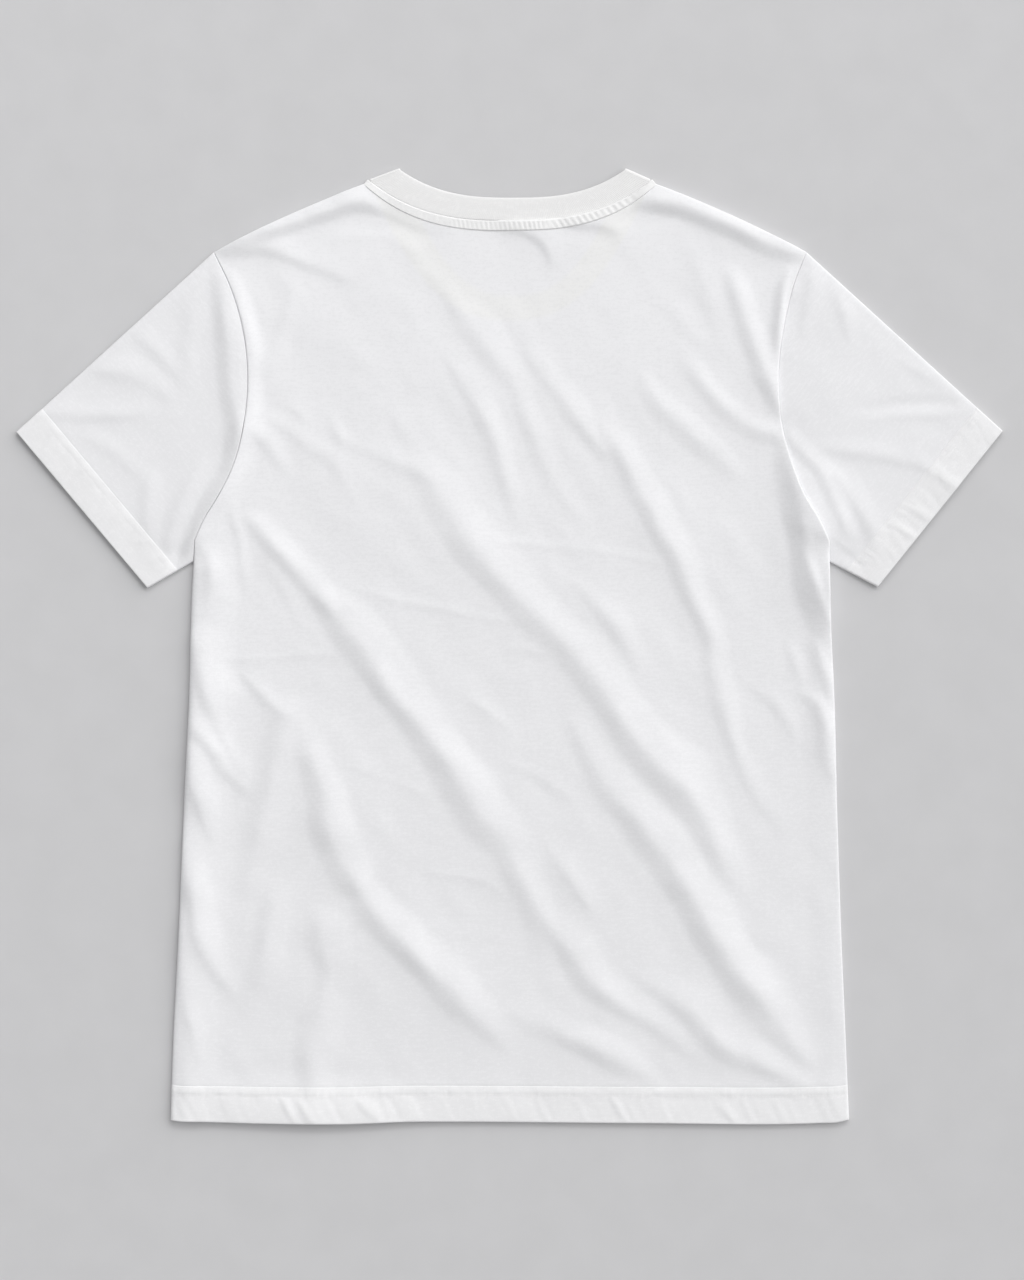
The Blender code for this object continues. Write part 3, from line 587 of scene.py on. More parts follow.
# A plain mesh object, from places in the garment's millimetres.
def clothObject(name, points, faces, grain, material, turnedOver=False):
    mesh = bpy.data.meshes.new(name)
    placed = np.asarray(points, float) * mm
    placed[:, 1] += hemY
    mesh.from_pydata(placed.tolist(), [], [
        face for group in faces for face in group[:, ::-1 if turnedOver else 1].tolist()])
    corners = np.zeros(len(mesh.loops), int)
    mesh.loops.foreach_get("vertex_index", corners)
    layer = mesh.uv_layers.new(name="grain")
    layer.data.foreach_set("uv", (np.asarray(grain)[corners] * mm).astype(np.float32).ravel())
    mesh.shade_smooth()
    mesh.set_sharp_from_angle(angle=math.radians(60))
    mesh.materials.append(material)
    return inScene(name, mesh)


# A closed wall between its face and its back, which may have half the face's rows and columns.
# With a foot, which is a height for each place of the face, both turn down to it all round.
def flatShell(name, face, back, grain, material, foot=None, turnedOver=False):
    rows, columns = face.shape[:2]
    coarse = back.shape[0] != rows
    halved = np.s_[::2, ::2] if coarse else np.s_[:, :]
    count = rows * columns
    outer, inner = borderOf(0, rows, columns), borderOf(count, *back.shape[:2])
    faces = [gridFaces(0, rows, columns), gridFaces(count, *back.shape[:2])[:, ::-1]]
    points = np.vstack([face.reshape(-1, 3), back.reshape(-1, 3)])
    grain = np.vstack([grain.reshape(-1, 2), grain[halved].reshape(-1, 2)])
    if foot is not None:
        edge = np.concatenate([outer, inner])
        feet = np.concatenate([foot.ravel(), foot[halved].ravel()])[edge]
        turned = points[edge]
        turned[:, 2] = np.minimum(feet, turned[:, 2] - 0.02)
        outerFoot, innerFoot = np.split(len(points) + np.arange(len(edge)), [len(outer)])
        faces += [stripBetween(outer, outerFoot), stripBetween(innerFoot, inner)]
        outer, inner = outerFoot, innerFoot
        points, grain = np.vstack([points, turned]), np.vstack([grain, grain[edge]])
    faces.append(stripToHalf(outer, inner) if coarse else stripBetween(outer, inner))
    return clothObject(name, points, faces, grain, material, turnedOver)


# A closed wall between two tubes of the same rows and columns, open at both ends.
def ringShell(name, outer, inner, grain, material, turnedOver):
    rows, columns = outer.shape[:2]
    count = rows * columns
    start, end = np.arange(columns), np.arange(count - columns, count)
    faces = [gridFaces(0, rows, columns, around=True),
             gridFaces(count, rows, columns, around=True)[:, ::-1],
             stripBetween(start, start + count), stripBetween(end, end + count)[:, ::-1]]
    points = np.vstack([outer.reshape(-1, 3), inner.reshape(-1, 3)])
    return clothObject(name, points, faces, np.tile(grain.reshape(-1, 2), (2, 1)), material, turnedOver)


# Finishes

def node(tree, kind, inputs=(), **settings):    # a new node's outputs
    made = tree.nodes.new(kind)
    for setting, value in settings.items():
        setattr(made, setting, value)
    for socket, value in dict(inputs).items():
        if isinstance(value, bpy.types.NodeSocket):
            tree.links.new(value, made.inputs[socket])
        else:
            made.inputs[socket].default_value = value
    return made.outputs


def maths(tree, operation, *values, clamp=False):
    return node(tree, "ShaderNodeMath", enumerate(values), operation=operation, use_clamp=clamp)[0]


# Knitted loops of a jersey: V-shaped legs in columns one wale wide and one course high.
def knitLoops(tree, grain, wale, course):
    split = node(tree, "ShaderNodeSeparateXYZ", {"Vector": grain})
    across = maths(tree, "DIVIDE", split["X"], wale * mm)
    upward = maths(tree, "DIVIDE", split["Y"], course * mm)
    leg = maths(tree, "PINGPONG", across, 0.5)
    slanted = maths(tree, "ADD", upward, leg)
    rounds = maths(tree, "SINE", maths(tree, "MULTIPLY", slanted, 2 * math.pi))
    ridge = maths(tree, "SINE", maths(tree, "MULTIPLY", leg, 2 * math.pi))
    return maths(tree, "MULTIPLY_ADD", rounds, 0.35, ridge)


# A colour that gets darker and lighter by a share of itself, where a tone strays either side of 0.
def mottled(tree, tone, colour, mottling):
    dark, light = [(*(c * (1 + change) for c in colour), 1) for change in (-mottling, mottling)]
    share = maths(tree, "ADD", tone, 0.5, clamp=True)
    return node(tree, "ShaderNodeMix", {0: share, 6: dark, 7: light}, data_type="RGBA")[2]


def newFinish(name, roughness, specular):       # a material, its tree and its shader's inputs
    material = bpy.data.materials.new(name)
    material.use_nodes = True
    inputs = material.node_tree.nodes["Principled BSDF"].inputs
    inputs["Roughness"].default_value = roughness
    inputs["Specular IOR Level"].default_value = specular
    return material, material.node_tree, inputs


fabric = {
    "specular": 0.25, "sheen": 0.06, "sheenRoughness": 0.5, "mottling": 0.02,
    "mottles": [                       # patches to a metre across and along the grain, and their weight
        ((30, 26, 1), 0.5), ((90, 620, 1), 2.3), ((330, 360, 1), 3.4), ((1000, 900, 1), 3)],
    "fuzz": 0.8, "relief": 0.12,       # the finest patches in the surface, and its depth
    "lighter": (1.2, -0.45),           # painted shade: a tone that rises up the garment, so the cloth is darker towards the hem; by the metre, and at the hem
}
singleKnit = {"roughness": 0.92, "wale": 0.8, "course": 0.6, "bumpStrength": 0.45}
finishes = {
    "white jersey": {"colour": (0.87, 0.868, 0.881), **singleKnit,
                     "overRib": (0.871, 0.868, 0.863)},     # where the front's neck rib shows through
    # where two layers let less light through
    "white jersey, doubled": {"colour": (0.9, 0.897, 0.903), **singleKnit},
    "white jersey, neck band": {"colour": (0.868, 0.865, 0.862), **singleKnit},
    "white rib": {"colour": (0.86, 0.855, 0.851), "roughness": 0.94, "wale": 0.9, "course": 0.6,
                  "bumpStrength": 0.3},
    "white thread": {"colour": (0.94, 0.94, 0.94), "roughness": 0.7, "wale": 0.3, "course": 0.3,
                     "bumpStrength": 0.2},
}


def clothFinish(name, colour, roughness, wale, course, bumpStrength, overRib=None):
    material, tree, inputs = newFinish(name, roughness, fabric["specular"])
    inputs["Sheen Weight"].default_value = fabric["sheen"]
    inputs["Sheen Roughness"].default_value = fabric["sheenRoughness"]
    grain = node(tree, "ShaderNodeUVMap", uv_map="grain")["UV"]
    upward = node(tree, "ShaderNodeSeparateXYZ", {"Vector": grain})["Y"]
    # painted shade: the cloth's colour darkens towards the hem
    tone = maths(tree, "MULTIPLY_ADD", upward, *fabric["lighter"])
    for spread, weight in fabric["mottles"]:
        stretched = node(tree, "ShaderNodeMapping", {"Vector": grain, "Scale": spread})[0]
        cloud = node(tree, "ShaderNodeTexNoise", {"Vector": stretched, "Scale": 1, "Detail": 2})["Fac"]
        patches = maths(tree, "MULTIPLY", maths(tree, "SUBTRACT", cloud, 0.5), weight)
        tone = maths(tree, "ADD", tone, patches)
    tinted = mottled(tree, tone, colour, fabric["mottling"])
    if overRib is not None:
        beneath = node(tree, "ShaderNodeAttribute", attribute_name="rib beneath")["Fac"]
        over = mottled(tree, tone, overRib, fabric["mottling"])
        tinted = node(tree, "ShaderNodeMix", {0: beneath, 6: tinted, 7: over}, data_type="RGBA")[2]
    tree.links.new(tinted, inputs["Base Color"])
    height = maths(tree, "MULTIPLY_ADD", cloud, fabric["fuzz"], knitLoops(tree, grain, wale, course))
    bumped = node(tree, "ShaderNodeBump", {
        "Height": height, "Distance": fabric["relief"] * mm, "Strength": bumpStrength})
    tree.links.new(bumped["Normal"], inputs["Normal"])
    return material


jersey, doubled, band, rib, thread = [clothFinish(name, **finish) for name, finish in finishes.items()]


# Twin-needle hems: the ridge between two rows of stitches, and the dimples where thread pulls in

twinNeedle = {
    "rows": (26.2, 21.8), "pitch": 2.6,
    "ridge": 0.34, "ridgeAt": 24.6, "ridgeHalf": 4.6,
    "dimple": (0.02, 0.035), "dimpleHalf": 1.5,
    "gatherIn": 2, "gatherHalf": 8,
    "slant": 0.45, "edgeCalm": 3, "rowCalm": 4,     # of the strains between the edge and the rows
    "noise": {                         # height, seed past the hem's own, across and along
        "ridge": (0.55, 0, 30, 9), "dimple": (0.7, 5, 30, 6), "gather": (0.12, 7, 14, 3.2),
        "strain": (0.12, 1, 60, 5), "pucker": (0.21, 2, 60, 12)},
}


def hemNoise(kind, along, fromEdge, seed):
    height, later, *reach = twinNeedle["noise"][kind]
    return height * wander(along, fromEdge, seed + later, *reach, 0)


def hemRelief(along, fromEdge, seed, outward=twinNeedle["ridgeHalf"]):
    phase = 2 * math.pi * along / twinNeedle["pitch"]
    fromRidge = fromEdge - twinNeedle["ridgeAt"]
    half = np.where(fromRidge < 0, outward, twinNeedle["ridgeHalf"])
    relief = twinNeedle["ridge"] * (1 + hemNoise("ridge", along, fromEdge, seed)) * bump(fromRidge, half)
    uneasy = 1 + hemNoise("dimple", along, fromEdge, seed)
    for row, depth in zip(twinNeedle["rows"], twinNeedle["dimple"]):
        atRow = bump(fromEdge - row, twinNeedle["dimpleHalf"])
        relief = relief - depth * uneasy * atRow * (1 + np.cos(phase))
    relief = relief + (hemNoise("gather", along, fromEdge, seed)
                       * bump(fromRidge + twinNeedle["gatherIn"], twinNeedle["gatherHalf"]))
    slanted = along + twinNeedle["slant"] * fromEdge
    between = (fade(fromEdge, twinNeedle["edgeCalm"])
               * fade(twinNeedle["rows"][1] - fromEdge, twinNeedle["rowCalm"]))
    return relief + between * (hemNoise("strain", slanted, fromEdge, seed)
                               + hemNoise("pucker", slanted, fromEdge, seed))


# Front and back panels

panelTurn = np.array([0, 0.1, 0.35, 0.75, 1.15, 1.9])   # columns and rows in from a turned edge
panelPlans = {"backStep": 2.4, "frontStep": 3.2, "besideNeck": 0.3}
backShape = {                          # a pair is how far a fade reaches, and where it starts
    "seam": 2.4, "lowest": 1.95,       # heights at its seams, and anywhere
    "rise": 0.6, "riseReach": 14,      # in from its seams
    "foot": 1.05, "hemFoot": 0.5,      # how low its turned edge reaches, and how much less over its hem
    "inNeck": (-112, 113), "neckRound": 0.7,
    "sideRise": (4.8, 1.2), "sideFall": (36, 22),      # the swell along the left and the right side seam
    "sideRound": 3.2, "sideShelf": 5, "sideLow": 0.5, "sideGrows": (160, 60), "sideEnds": 24,
    "lumps": (0.85, 0.45), "lumpNoise": (21, 60, 45, 0),       # how even that swell is, and how lumpy
    "armBead": 1.8, "armBeadReach": 13,    # along the armholes, where the body lies over the sleeves
    "armBeadStarts": (20, -12), "armBeadEnds": (30, -5),
    "calm": (0.25, 0.75), "calmReach": (12, 30),       # of the unevenness near a seam and the hem
    "tuck": 0.5, "overHem": 2,
}
frontShape = {
    "top": 0.95, "round": 0.6, "deepest": 0.75,
    "follows": 0.2, "least": -1, "most": 4,    # how much it follows of the folds above, and which of them
    "calmReach": 20, "hemCalm": (20, 30), "sag": -0.1,
}


def madeOdd(places, extra):            # with one place more if their number is even, to be halved later
    return places if len(places) % 2 else np.insert(places, np.searchsorted(places, extra), extra)


# Places in a panel's cut: rows from its hem's strip to its top edge, columns from side to side.
def panelPlan(neck, step):
    groove, beside = neckLine(neck, 1.0), panelPlans["besideNeck"]
    tips = [float(sideEdge(side, cut["shoulderTip"])) for side in ("left", "right")]
    inset = panelTurn[-1] + step
    x = np.concatenate([
        tips[0] + panelTurn, stepsTo(tips[0] + inset, groove[0, 0] - beside, step),
        stepsTo(groove[0, 0] + beside, groove[-1, 0] - beside, step),
        stepsTo(groove[-1, 0] + beside, tips[1] - inset, step), tips[1] - panelTurn[::-1]])
    x = madeOdd(x, tips[0] + inset - step / 2)
    share = (x - tips[0]) / (tips[1] - tips[0])
    tops = topUp(neck, x)
    tucked = cut["hemTop"] - cloth["tuckDepth"] * np.array([1, 0.5])
    below = np.concatenate([tucked, stepsTo(cut["hemTop"], cut["armpit"], step)[:-1]])
    climb = stepsTo(0, 1, step / (cut["neck"] - cut["armpit"]))
    if (len(below) + len(climb) + len(panelTurn)) % 2:
        climb = np.linspace(0, 1, len(climb) + 1)
    up = np.vstack([
        np.repeat(below[:, None], len(x), 1),
        cut["armpit"] + climb[:, None] * (tops - panelTurn[-1] - cut["armpit"]),
        tops - panelTurn[-2::-1, None]])
    left, right = sideEdge("left", up), sideEdge("right", up)
    placed = left + share * (right - left)
    border = len(panelTurn)
    placed[:, :border] = left[:, :border] + panelTurn
    placed[:, -border:] = right[:, -border:] - panelTurn[::-1]
    return placed, up


def waved(x, up):                      # the same places once the hem's edge waves
    return up + through(cut["hemWave"], 1, x) * (1 - fade(up, cut["hemWaveFade"]))


def backTop(x, up):                    # the back panel's upper face
    side = fromSides(x, up)
    z = backShape["seam"] + backShape["rise"] * fade(side, backShape["riseReach"])
    rise, fall = [np.where(x < 0, *backShape[key]) for key in ("sideRise", "sideFall")]
    rise = rise * (backShape["sideLow"] + (1 - backShape["sideLow"]) * fade(up, *backShape["sideGrows"]))
    swell = (np.sqrt(1 - (1 - np.clip(side / backShape["sideRound"], 0, 1)) ** 2)
             * (1 - fade(side, fall, backShape["sideShelf"])))
    even, lumpy = backShape["lumps"]
    lumps = even + lumpy * wander(up, side, *backShape["lumpNoise"])
    z = z + rise * swell * lumps * fade(cut["armpit"] - up, backShape["sideEnds"])
    z = z + through(cut["hemLift"], 1, x) * (1 - fade(up, cut["hemLiftFade"]))
    onArmhole = ((1 - fade(side, backShape["armBeadReach"]))
                 * fade(up - cut["armpit"], *backShape["armBeadStarts"]))
    z = z + backShape["armBead"] * onArmhole * fade(cut["shoulderTip"] - up, *backShape["armBeadEnds"])
    (least, more), (fromSide, fromHem) = backShape["calm"], backShape["calmReach"]
    calm = least + more * fade(side, fromSide) * fade(up, fromHem)
    return np.maximum(z + (heightOn(bodyRelief, x, up) + uneven(x, up) * calm), backShape["lowest"])


def overFrontRib(x, up):               # 1 where the front's neck rib lies beneath the back panel
    seam, edge = [np.interp(x, *neckLine(name)[:, :2].T) for name in ("frontSeam", "frontEdge")]
    return fade(up - seam, 6, -3) * fade(edge - up, 6, -3)


def makeBack():
    x, up = panelPlan("backSeam", panelPlans["backStep"])
    start, end = backShape["inNeck"]
    topRound = np.where((x > start) & (x < end), backShape["neckRound"], cloth["edgeRound"])
    z = backTop(x, up) - turnedDown(fromSides(x, up), cloth["edgeRound"])
    z = z - turnedDown(up[-1] - up, topRound)
    z = z - backShape["tuck"] * (1 - smooth((up - cut["hemTop"]) / cloth["tuckDepth"] + 1))
    upper = np.dstack([x, waved(x, up), z])
    lower = (upper - cloth["thickness"] * normalsOf(upper))[::2, ::2]
    foot = backShape["foot"] + backShape["hemFoot"] * (1 - fade(up, backShape["overHem"], cut["hemTop"]))
    lower[..., 2] = np.maximum(lower[..., 2], foot[::2, ::2] + cloth["least"])
    made = flatShell("back_panel_jersey", upper, lower, np.dstack([x, up]), jersey, foot)
    places = np.zeros(3 * len(made.data.vertices))
    made.data.vertices.foreach_get("co", places)
    x, y, z = places.reshape(-1, 3).T / mm
    beneath = made.data.attributes.new("rib beneath", "FLOAT", "POINT")
    beneath.data.foreach_set("value", overFrontRib(x, y - hemY / mm).astype(np.float32))
    return made


def makeFront():
    x, up = panelPlan("frontSeam", panelPlans["frontStep"])
    side, below = fromSides(x, up), up[-1] - up
    lift = frontShape["follows"] * np.clip(heightOn(bodyRelief, x, up) + uneven(x, up),
                                           frontShape["least"], frontShape["most"])
    lift = (lift * fade(side, frontShape["calmReach"]) * fade(below, frontShape["calmReach"])
            * fade(up, *frontShape["hemCalm"]))
    turned = turnedDown(side, frontShape["round"]) + turnedDown(below, frontShape["round"])
    upper = np.dstack([x, waved(x, up), frontShape["top"] + np.maximum(lift, frontShape["sag"])])
    lower = np.dstack([x, waved(x, up), np.maximum(lift, 0) + np.minimum(turned, frontShape["deepest"])])
    return flatShell("front_panel_jersey", upper, lower, np.dstack([x, up]), jersey)


# The turned-up hems are strips of their own, finely divided for their stitches

hemStrip = {
    "step": 0.65, "plain": (2.2, 19.5, 1.6), "stitched": (20.1, 27.6, 0.55),    # from, to and step of rows
    "inset": 1.9, "extraColumn": 1.5, "extraRow": 1.7,     # of its columns and rows, where needed
    "rise": 0.14, "lip": 0.25,         # above the panel, and the roundness of its top edge
    "foot": 1.55,                      # how low its edge reaches beside a side seam
    "mouth": 1.4, "mouthStarts": (14, 6),      # the height of its edge, where it stands off the surface
    "frontTop": 1.45, "frontRound": 0.6, "deepest": 0.9, "seeds": {"back": 31, "front": 37},
}


def stripRows(turn, strip, top):       # up a turned-up strip, from its edge to the lip of its top
    lip = top - strip["lip"] * np.array([0.7, 0.25, 0])
    return np.concatenate([turn, stepsTo(*strip["plain"]), stepsTo(*strip["stitched"]), lip])


def hemPlan():
    turn, inset = panelTurn[:-1], hemStrip["inset"]
    wide = sideEdge("right", 0) - sideEdge("left", 0)
    across = np.concatenate([turn, stepsTo(inset, wide - inset, hemStrip["step"]), wide - turn[::-1]])
    across = madeOdd(across, hemStrip["extraColumn"])
    rows = madeOdd(stripRows(turn, hemStrip, cut["hemTop"]), hemStrip["extraRow"])
    up = np.repeat(rows[:, None], len(across), 1)
    lefts, rights = sideEdge("left", up), sideEdge("right", up)
    return lefts + across / wide * (rights - lefts), up


def backHemTop(x, up):
    lip = turnedDown(cut["hemTop"] - up, hemStrip["lip"])
    return backTop(x, up) + hemStrip["rise"] + hemRelief(x, up, hemStrip["seeds"]["back"]) - lip


def makeBackHem():
    x, up = hemPlan()
    side = fromSides(x, up)
    z = backHemTop(x, up) - turnedDown(side, cloth["edgeRound"]) - turnedDown(up, cloth["edgeRound"])
    upper = np.dstack([x, waved(x, up), z])
    lower = (upper - cloth["hemThickness"] * normalsOf(upper))[::2, ::2]
    lower[..., 2] = np.maximum(lower[..., 2], hemStrip["foot"] + cloth["least"])
    gap = np.maximum(z - hemStrip["mouth"] - hemStrip["foot"], 0)
    foot = hemStrip["foot"] + gap * fade(side, *hemStrip["mouthStarts"])
    return flatShell("back_hem", upper, lower, np.dstack([x, up]), doubled, foot)


def makeFrontHem():                    # its stitched face looks down
    x, up = hemPlan()
    radius = hemStrip["frontRound"]
    turned = (turnedDown(fromSides(x, up), radius) + turnedDown(up, radius)
              + turnedDown(cut["hemTop"] - up, hemStrip["lip"]))
    relief = hemRelief(x, up, hemStrip["seeds"]["front"])
    z = np.maximum(-relief, 0) + np.minimum(turned, hemStrip["deepest"])
    lower = np.dstack([x, waved(x, up), z])
    upper = np.dstack([x, waved(x, up), np.full(x.shape, hemStrip["frontTop"])])[::2, ::2]
    return flatShell("front_hem", lower, upper, np.dstack([x, up]), doubled, turnedOver=True)


backPanel, frontPanel = makeBack(), makeFront()
backHem, frontHem = makeBackHem(), makeFrontHem()
print("panels and hems made")


# Neck bands: the jersey beside the rib's seam, stitched down along a groove

bandShape = {
    "step": 0.6, "ends": (0, 0.1, 0.35, 0.7), "endSpace": 1.1, "drawn": 900,    # places along it
    "across": (1.09, 1.0, 0.985, 0.955, 0.91, 0.87, 0.76, 0.64, 0.52, 0.4, 0.28, 0.19, 0.12, 0.05, 0, -0.1),
    "backReach": 2.4, "frontReach": 0.4,       # past both ends of the neck's curve
    "rise": 0.7, "endRise": 0.2, "endReach": 6,    # above the panel's seam, and at the band's ends
    "unevenness": 0.6, "tuck": 9, "round": 0.7, "foot": 1.15, "least": 1,
    "frontTop": 1.0, "frontRound": 0.5, "deepest": 0.85,
    "puckers": [                       # x from, x to, pitch, height, slant
        (-50, 34, 3.7, 0.14, -0.2), (28, 104, 4.7, 0.19, -0.55), (-100, -44, 4.4, 0.04, 0.2)],
    "puckerEnds": 10, "slantOver": 8,
    "stray": 1.3, "strayNoise": (41, 9, 14, 0), "waver": 0.5, "waverNoise": (43, 9, 6, 0),
}


def seamLevel(x, up):                  # of the back panel along its band
    return (backShape["seam"] + backShape["rise"] + heightOn(bodyRelief, x, up)
            + bandShape["unevenness"] * uneven(x, up))


def bandPlaces(name, reach):           # spread evenly along, with closer places at both ends
    count = int(runOf(neckLine(name))[-1] / bandShape["step"]) // 2 * 2 + 1
    ends, space = np.array(bandShape["ends"]), bandShape["endSpace"]
    placed = []
    for across in bandShape["across"]:
        line = neckLine(name, across, reach, bandShape["drawn"])
        run = runOf(line)
        middle = np.linspace(space, run[-1] - space, count - 2 * len(ends))
        at = np.concatenate([ends, middle, run[-1] - ends[::-1]])
        placed.append(np.column_stack([np.interp(at, run, line[:, 0]), np.interp(at, run, line[:, 1])]))
    return np.array(placed), at


def puckersOf(x, across):
    relief = 0
    stray = bandShape["stray"] * wander(x, across, *bandShape["strayNoise"])
    waver = 1 + bandShape["waver"] * wander(x, across, *bandShape["waverNoise"])
    for start, end, pitch, height, slant in bandShape["puckers"]:
        reach = fade(x, bandShape["puckerEnds"], start) * fade(end - x, bandShape["puckerEnds"])
        along = x + slant * bandShape["slantOver"] * across
        relief = relief + height * reach * np.sin(2 * math.pi * along / pitch + stray) * waver
    return relief


def bandTurn(across, run, radius):     # how far a band turns down beside the groove, the seam and its ends
    wide = neckBand["width"] * across
    ends = np.minimum(run, run[-1] - run)[None, :]
    return (turnedDown(neckBand["width"] - wide, radius) + turnedDown(wide, radius)
            + turnedDown(ends, radius))


def makeBackBand():
    placed, run = bandPlaces("backSeam", bandShape["backReach"])
    across = np.array(bandShape["across"])[:, None]
    x, up = placed[..., 0], placed[..., 1]
    inBand = np.clip(across, 0, 1)
    atEnd = 1 - fade(np.minimum(run, run[-1] - run)[None, :], bandShape["endReach"])
    z = seamLevel(x, up) + bandShape["rise"] * (1 - atEnd) + bandShape["endRise"] * atEnd
    z = z + puckersOf(x, across) * np.sin(math.pi * inBand) ** 0.5
    z = z - bandTurn(inBand, run, bandShape["round"]) - bandShape["tuck"] * np.clip(across - 1, 0, 1)
    upper = np.dstack([x, up, np.maximum(z, bandShape["foot"] + bandShape["least"])])
    lower = upper - cloth["bandThickness"] * normalsOf(upper)
    lower[..., 2] = np.maximum(lower[..., 2], bandShape["foot"] + cloth["least"])
    foot = np.full(x.shape, bandShape["foot"])
    return flatShell("back_neck_band", upper, lower, np.dstack([x, up]), band, foot)


def makeFrontBand():
    placed, run = bandPlaces("frontSeam", bandShape["frontReach"])
    across = np.array(bandShape["across"])[1:, None]
    x, up = placed[1:, :, 0], placed[1:, :, 1]
    turned = bandTurn(across, run, bandShape["frontRound"])
    upper = np.dstack([x, up, np.full(x.shape, bandShape["frontTop"])])
    lower = np.dstack([x, up, np.minimum(turned, bandShape["deepest"])])
    return flatShell("front_neck_band", upper, lower, np.dstack([x, up]), band)


backBand, frontBand = makeBackBand(), makeFrontBand()
print("neck bands made")


# Neck rib: one strip folded double along its length and sewn into a ring

neckRib = {
    "half": 0.8, "foldRadius": 1.05, "foldSteps": 9, "sag": 0.6, "setback": 0.5,
    "step": 0.4, "backLength": 248, "frontLength": 330,
    "section": [                       # in from the seam as a share, then in mm, and the share of "half"
        (0, 0, 0.3), (0, 0.15, 0.72), (0, 0.5, 0.97), (0, 1.4, 1), (0.3, 0, 1), (0.6, 0, 1),
        (1, -2.2, 1), (1, -1.0, 0.86), (1, -0.4, 0.6), (1, -0.08, 0.28), (1, 0, 0)],
    "grainStep": 2.4, "ribPitch": 1.3, "ribHeight": 0.07,
}


def ribSection(seam, edge, normal):
    width = np.linalg.norm(edge - seam)
    across = (edge - seam) / width
    upper, lower = [[seam + (share * width + more) * across + side * high * neckRib["half"] * normal
                     for share, more, high in neckRib["section"]] for side in (1, -1)]
    return upper + lower[-2::-1]


def ribLayer(seam, edge, heights):
    lines = [neckCurve(name, len(heights))[1] for name in (seam, edge)]
    return list(zip(*[np.column_stack([line, heights]) for line in lines]))[1:-1]


def ribFold(upper, lower, outward):    # sections that turn the rib from its upper layer to its lower one
    sections = []
    outward = np.array([*outward, 0])
    for turn in np.linspace(90, -90, neckRib["foldSteps"] + 2)[1:-1]:
        cosine, sine = math.cos(math.radians(turn)), math.sin(math.radians(turn))
        normal = cosine * outward + np.array([0, 0, sine])
        seam, edge = [bottom + (top - bottom) * (1 + sine) / 2 + neckRib["foldRadius"] * cosine * outward
                      for top, bottom in zip(upper, lower)]
        across = (edge - seam) / np.linalg.norm(edge - seam)
        sections.append(ribSection(seam + neckRib["setback"] * cosine * across, edge, normal))
    return sections


def makeRib():
    low = neckRib["half"]
    high = low + 2 * neckRib["foldRadius"]
    backCount, frontCount = [int(neckRib[key] / neckRib["step"]) for key in ("backLength", "frontLength")]
    sag = neckRib["sag"] * np.sin(np.linspace(0, np.pi, backCount))
    back = ribLayer("backSeam", "backEdge", high - sag)
    front = ribLayer("frontSeam", "frontEdge", np.full(frontCount, low))
    seam, edge = neckCurves["backSeam"], neckCurves["backEdge"]
    run = np.array([edge["left"] - seam["left"], edge["up"] - seam["up"]])
    leftOut = np.array([-run[1], run[0]]) / np.linalg.norm(run)
    rightOut = np.array([-leftOut[0], leftOut[1]])
    upward = np.array([0, 0, 1.0])
    points = np.array([
        *[ribSection(*ends, upward) for ends in back], *ribFold(back[-1], front[-1], rightOut),
        *[ribSection(*ends, -upward) for ends in front[::-1]], *ribFold(back[0], front[0], leftOut)[::-1]])
    rows, columns = points.shape[:2]
    faces = gridFaces(0, rows, columns, around=True, along=True)
    middle = points.mean(1)
    steps = np.linalg.norm(np.diff(middle, axis=0, append=middle[:1]), axis=1)
    along, length = np.concatenate([[0], np.cumsum(steps)[:-1]]), float(steps.sum())
    grain = np.dstack(np.meshgrid(np.arange(columns) * neckRib["grainStep"], along))[..., ::-1]
    made = clothObject("neck_rib", points.reshape(-1, 3), [faces], grain.reshape(-1, 2), rib)
    share = np.repeat(along / length, columns).astype(np.float32)
    made.data.attributes.new("alongNeck", "FLOAT", "POINT").data.foreach_set("value", share)
    return made, length


# Geometry Nodes

def newTree(name, sizes):              # a tree with a Geometry input and named number inputs
    tree = bpy.data.node_groups.new(name, "GeometryNodeTree")
    tree.interface.new_socket("Geometry", in_out="INPUT", socket_type="NodeSocketGeometry")
    tree.interface.new_socket("Geometry", in_out="OUTPUT", socket_type="NodeSocketGeometry")
    sockets = {}
    for size, kind in sizes.items():
        made = tree.interface.new_socket(size, in_out="INPUT", socket_type="NodeSocket" + kind)
        sockets[size] = made.identifier
    return tree, node(tree, "NodeGroupInput"), sockets


def finishTree(tree, geometry, material):
    realized = node(tree, "GeometryNodeRealizeInstances", {0: geometry})[0]
    painted = node(tree, "GeometryNodeSetMaterial", {"Geometry": realized, "Material": material})[0]
    node(tree, "NodeGroupOutput", {0: painted})


# The object as its tree makes it, in a plain mesh.
def grown(made, tree, sockets, sizes):
    modifier = made.modifiers.new(tree.name, "NODES")
    modifier.node_group = tree
    for size, value in sizes.items():
        modifier[sockets[size]] = value
    evaluated = made.evaluated_get(bpy.context.evaluated_depsgraph_get())
    mesh = bpy.data.meshes.new_from_object(evaluated)
    made.modifiers.clear()
    made.data = mesh
    return made


def ribTree(material):                 # ribs across the strip, as a wave in its surface
    tree, given, sockets = newTree("ribs", {"Count": "Float", "Height": "Float"})
    along = node(tree, "GeometryNodeInputNamedAttribute", {"Name": "alongNeck"}, data_type="FLOAT")[0]
    phase = maths(tree, "MULTIPLY", maths(tree, "MULTIPLY", along, given["Count"]), 2 * math.pi)
    lift = maths(tree, "MULTIPLY", maths(tree, "SINE", phase), given["Height"])
    normal = node(tree, "GeometryNodeInputNormal")[0]
    offset = node(tree, "ShaderNodeVectorMath", {0: normal, "Scale": lift}, operation="SCALE")[0]
    moved = node(tree, "GeometryNodeSetPosition", {"Geometry": given["Geometry"], "Offset": offset})[0]
    finishTree(tree, moved, material)
    return tree, sockets


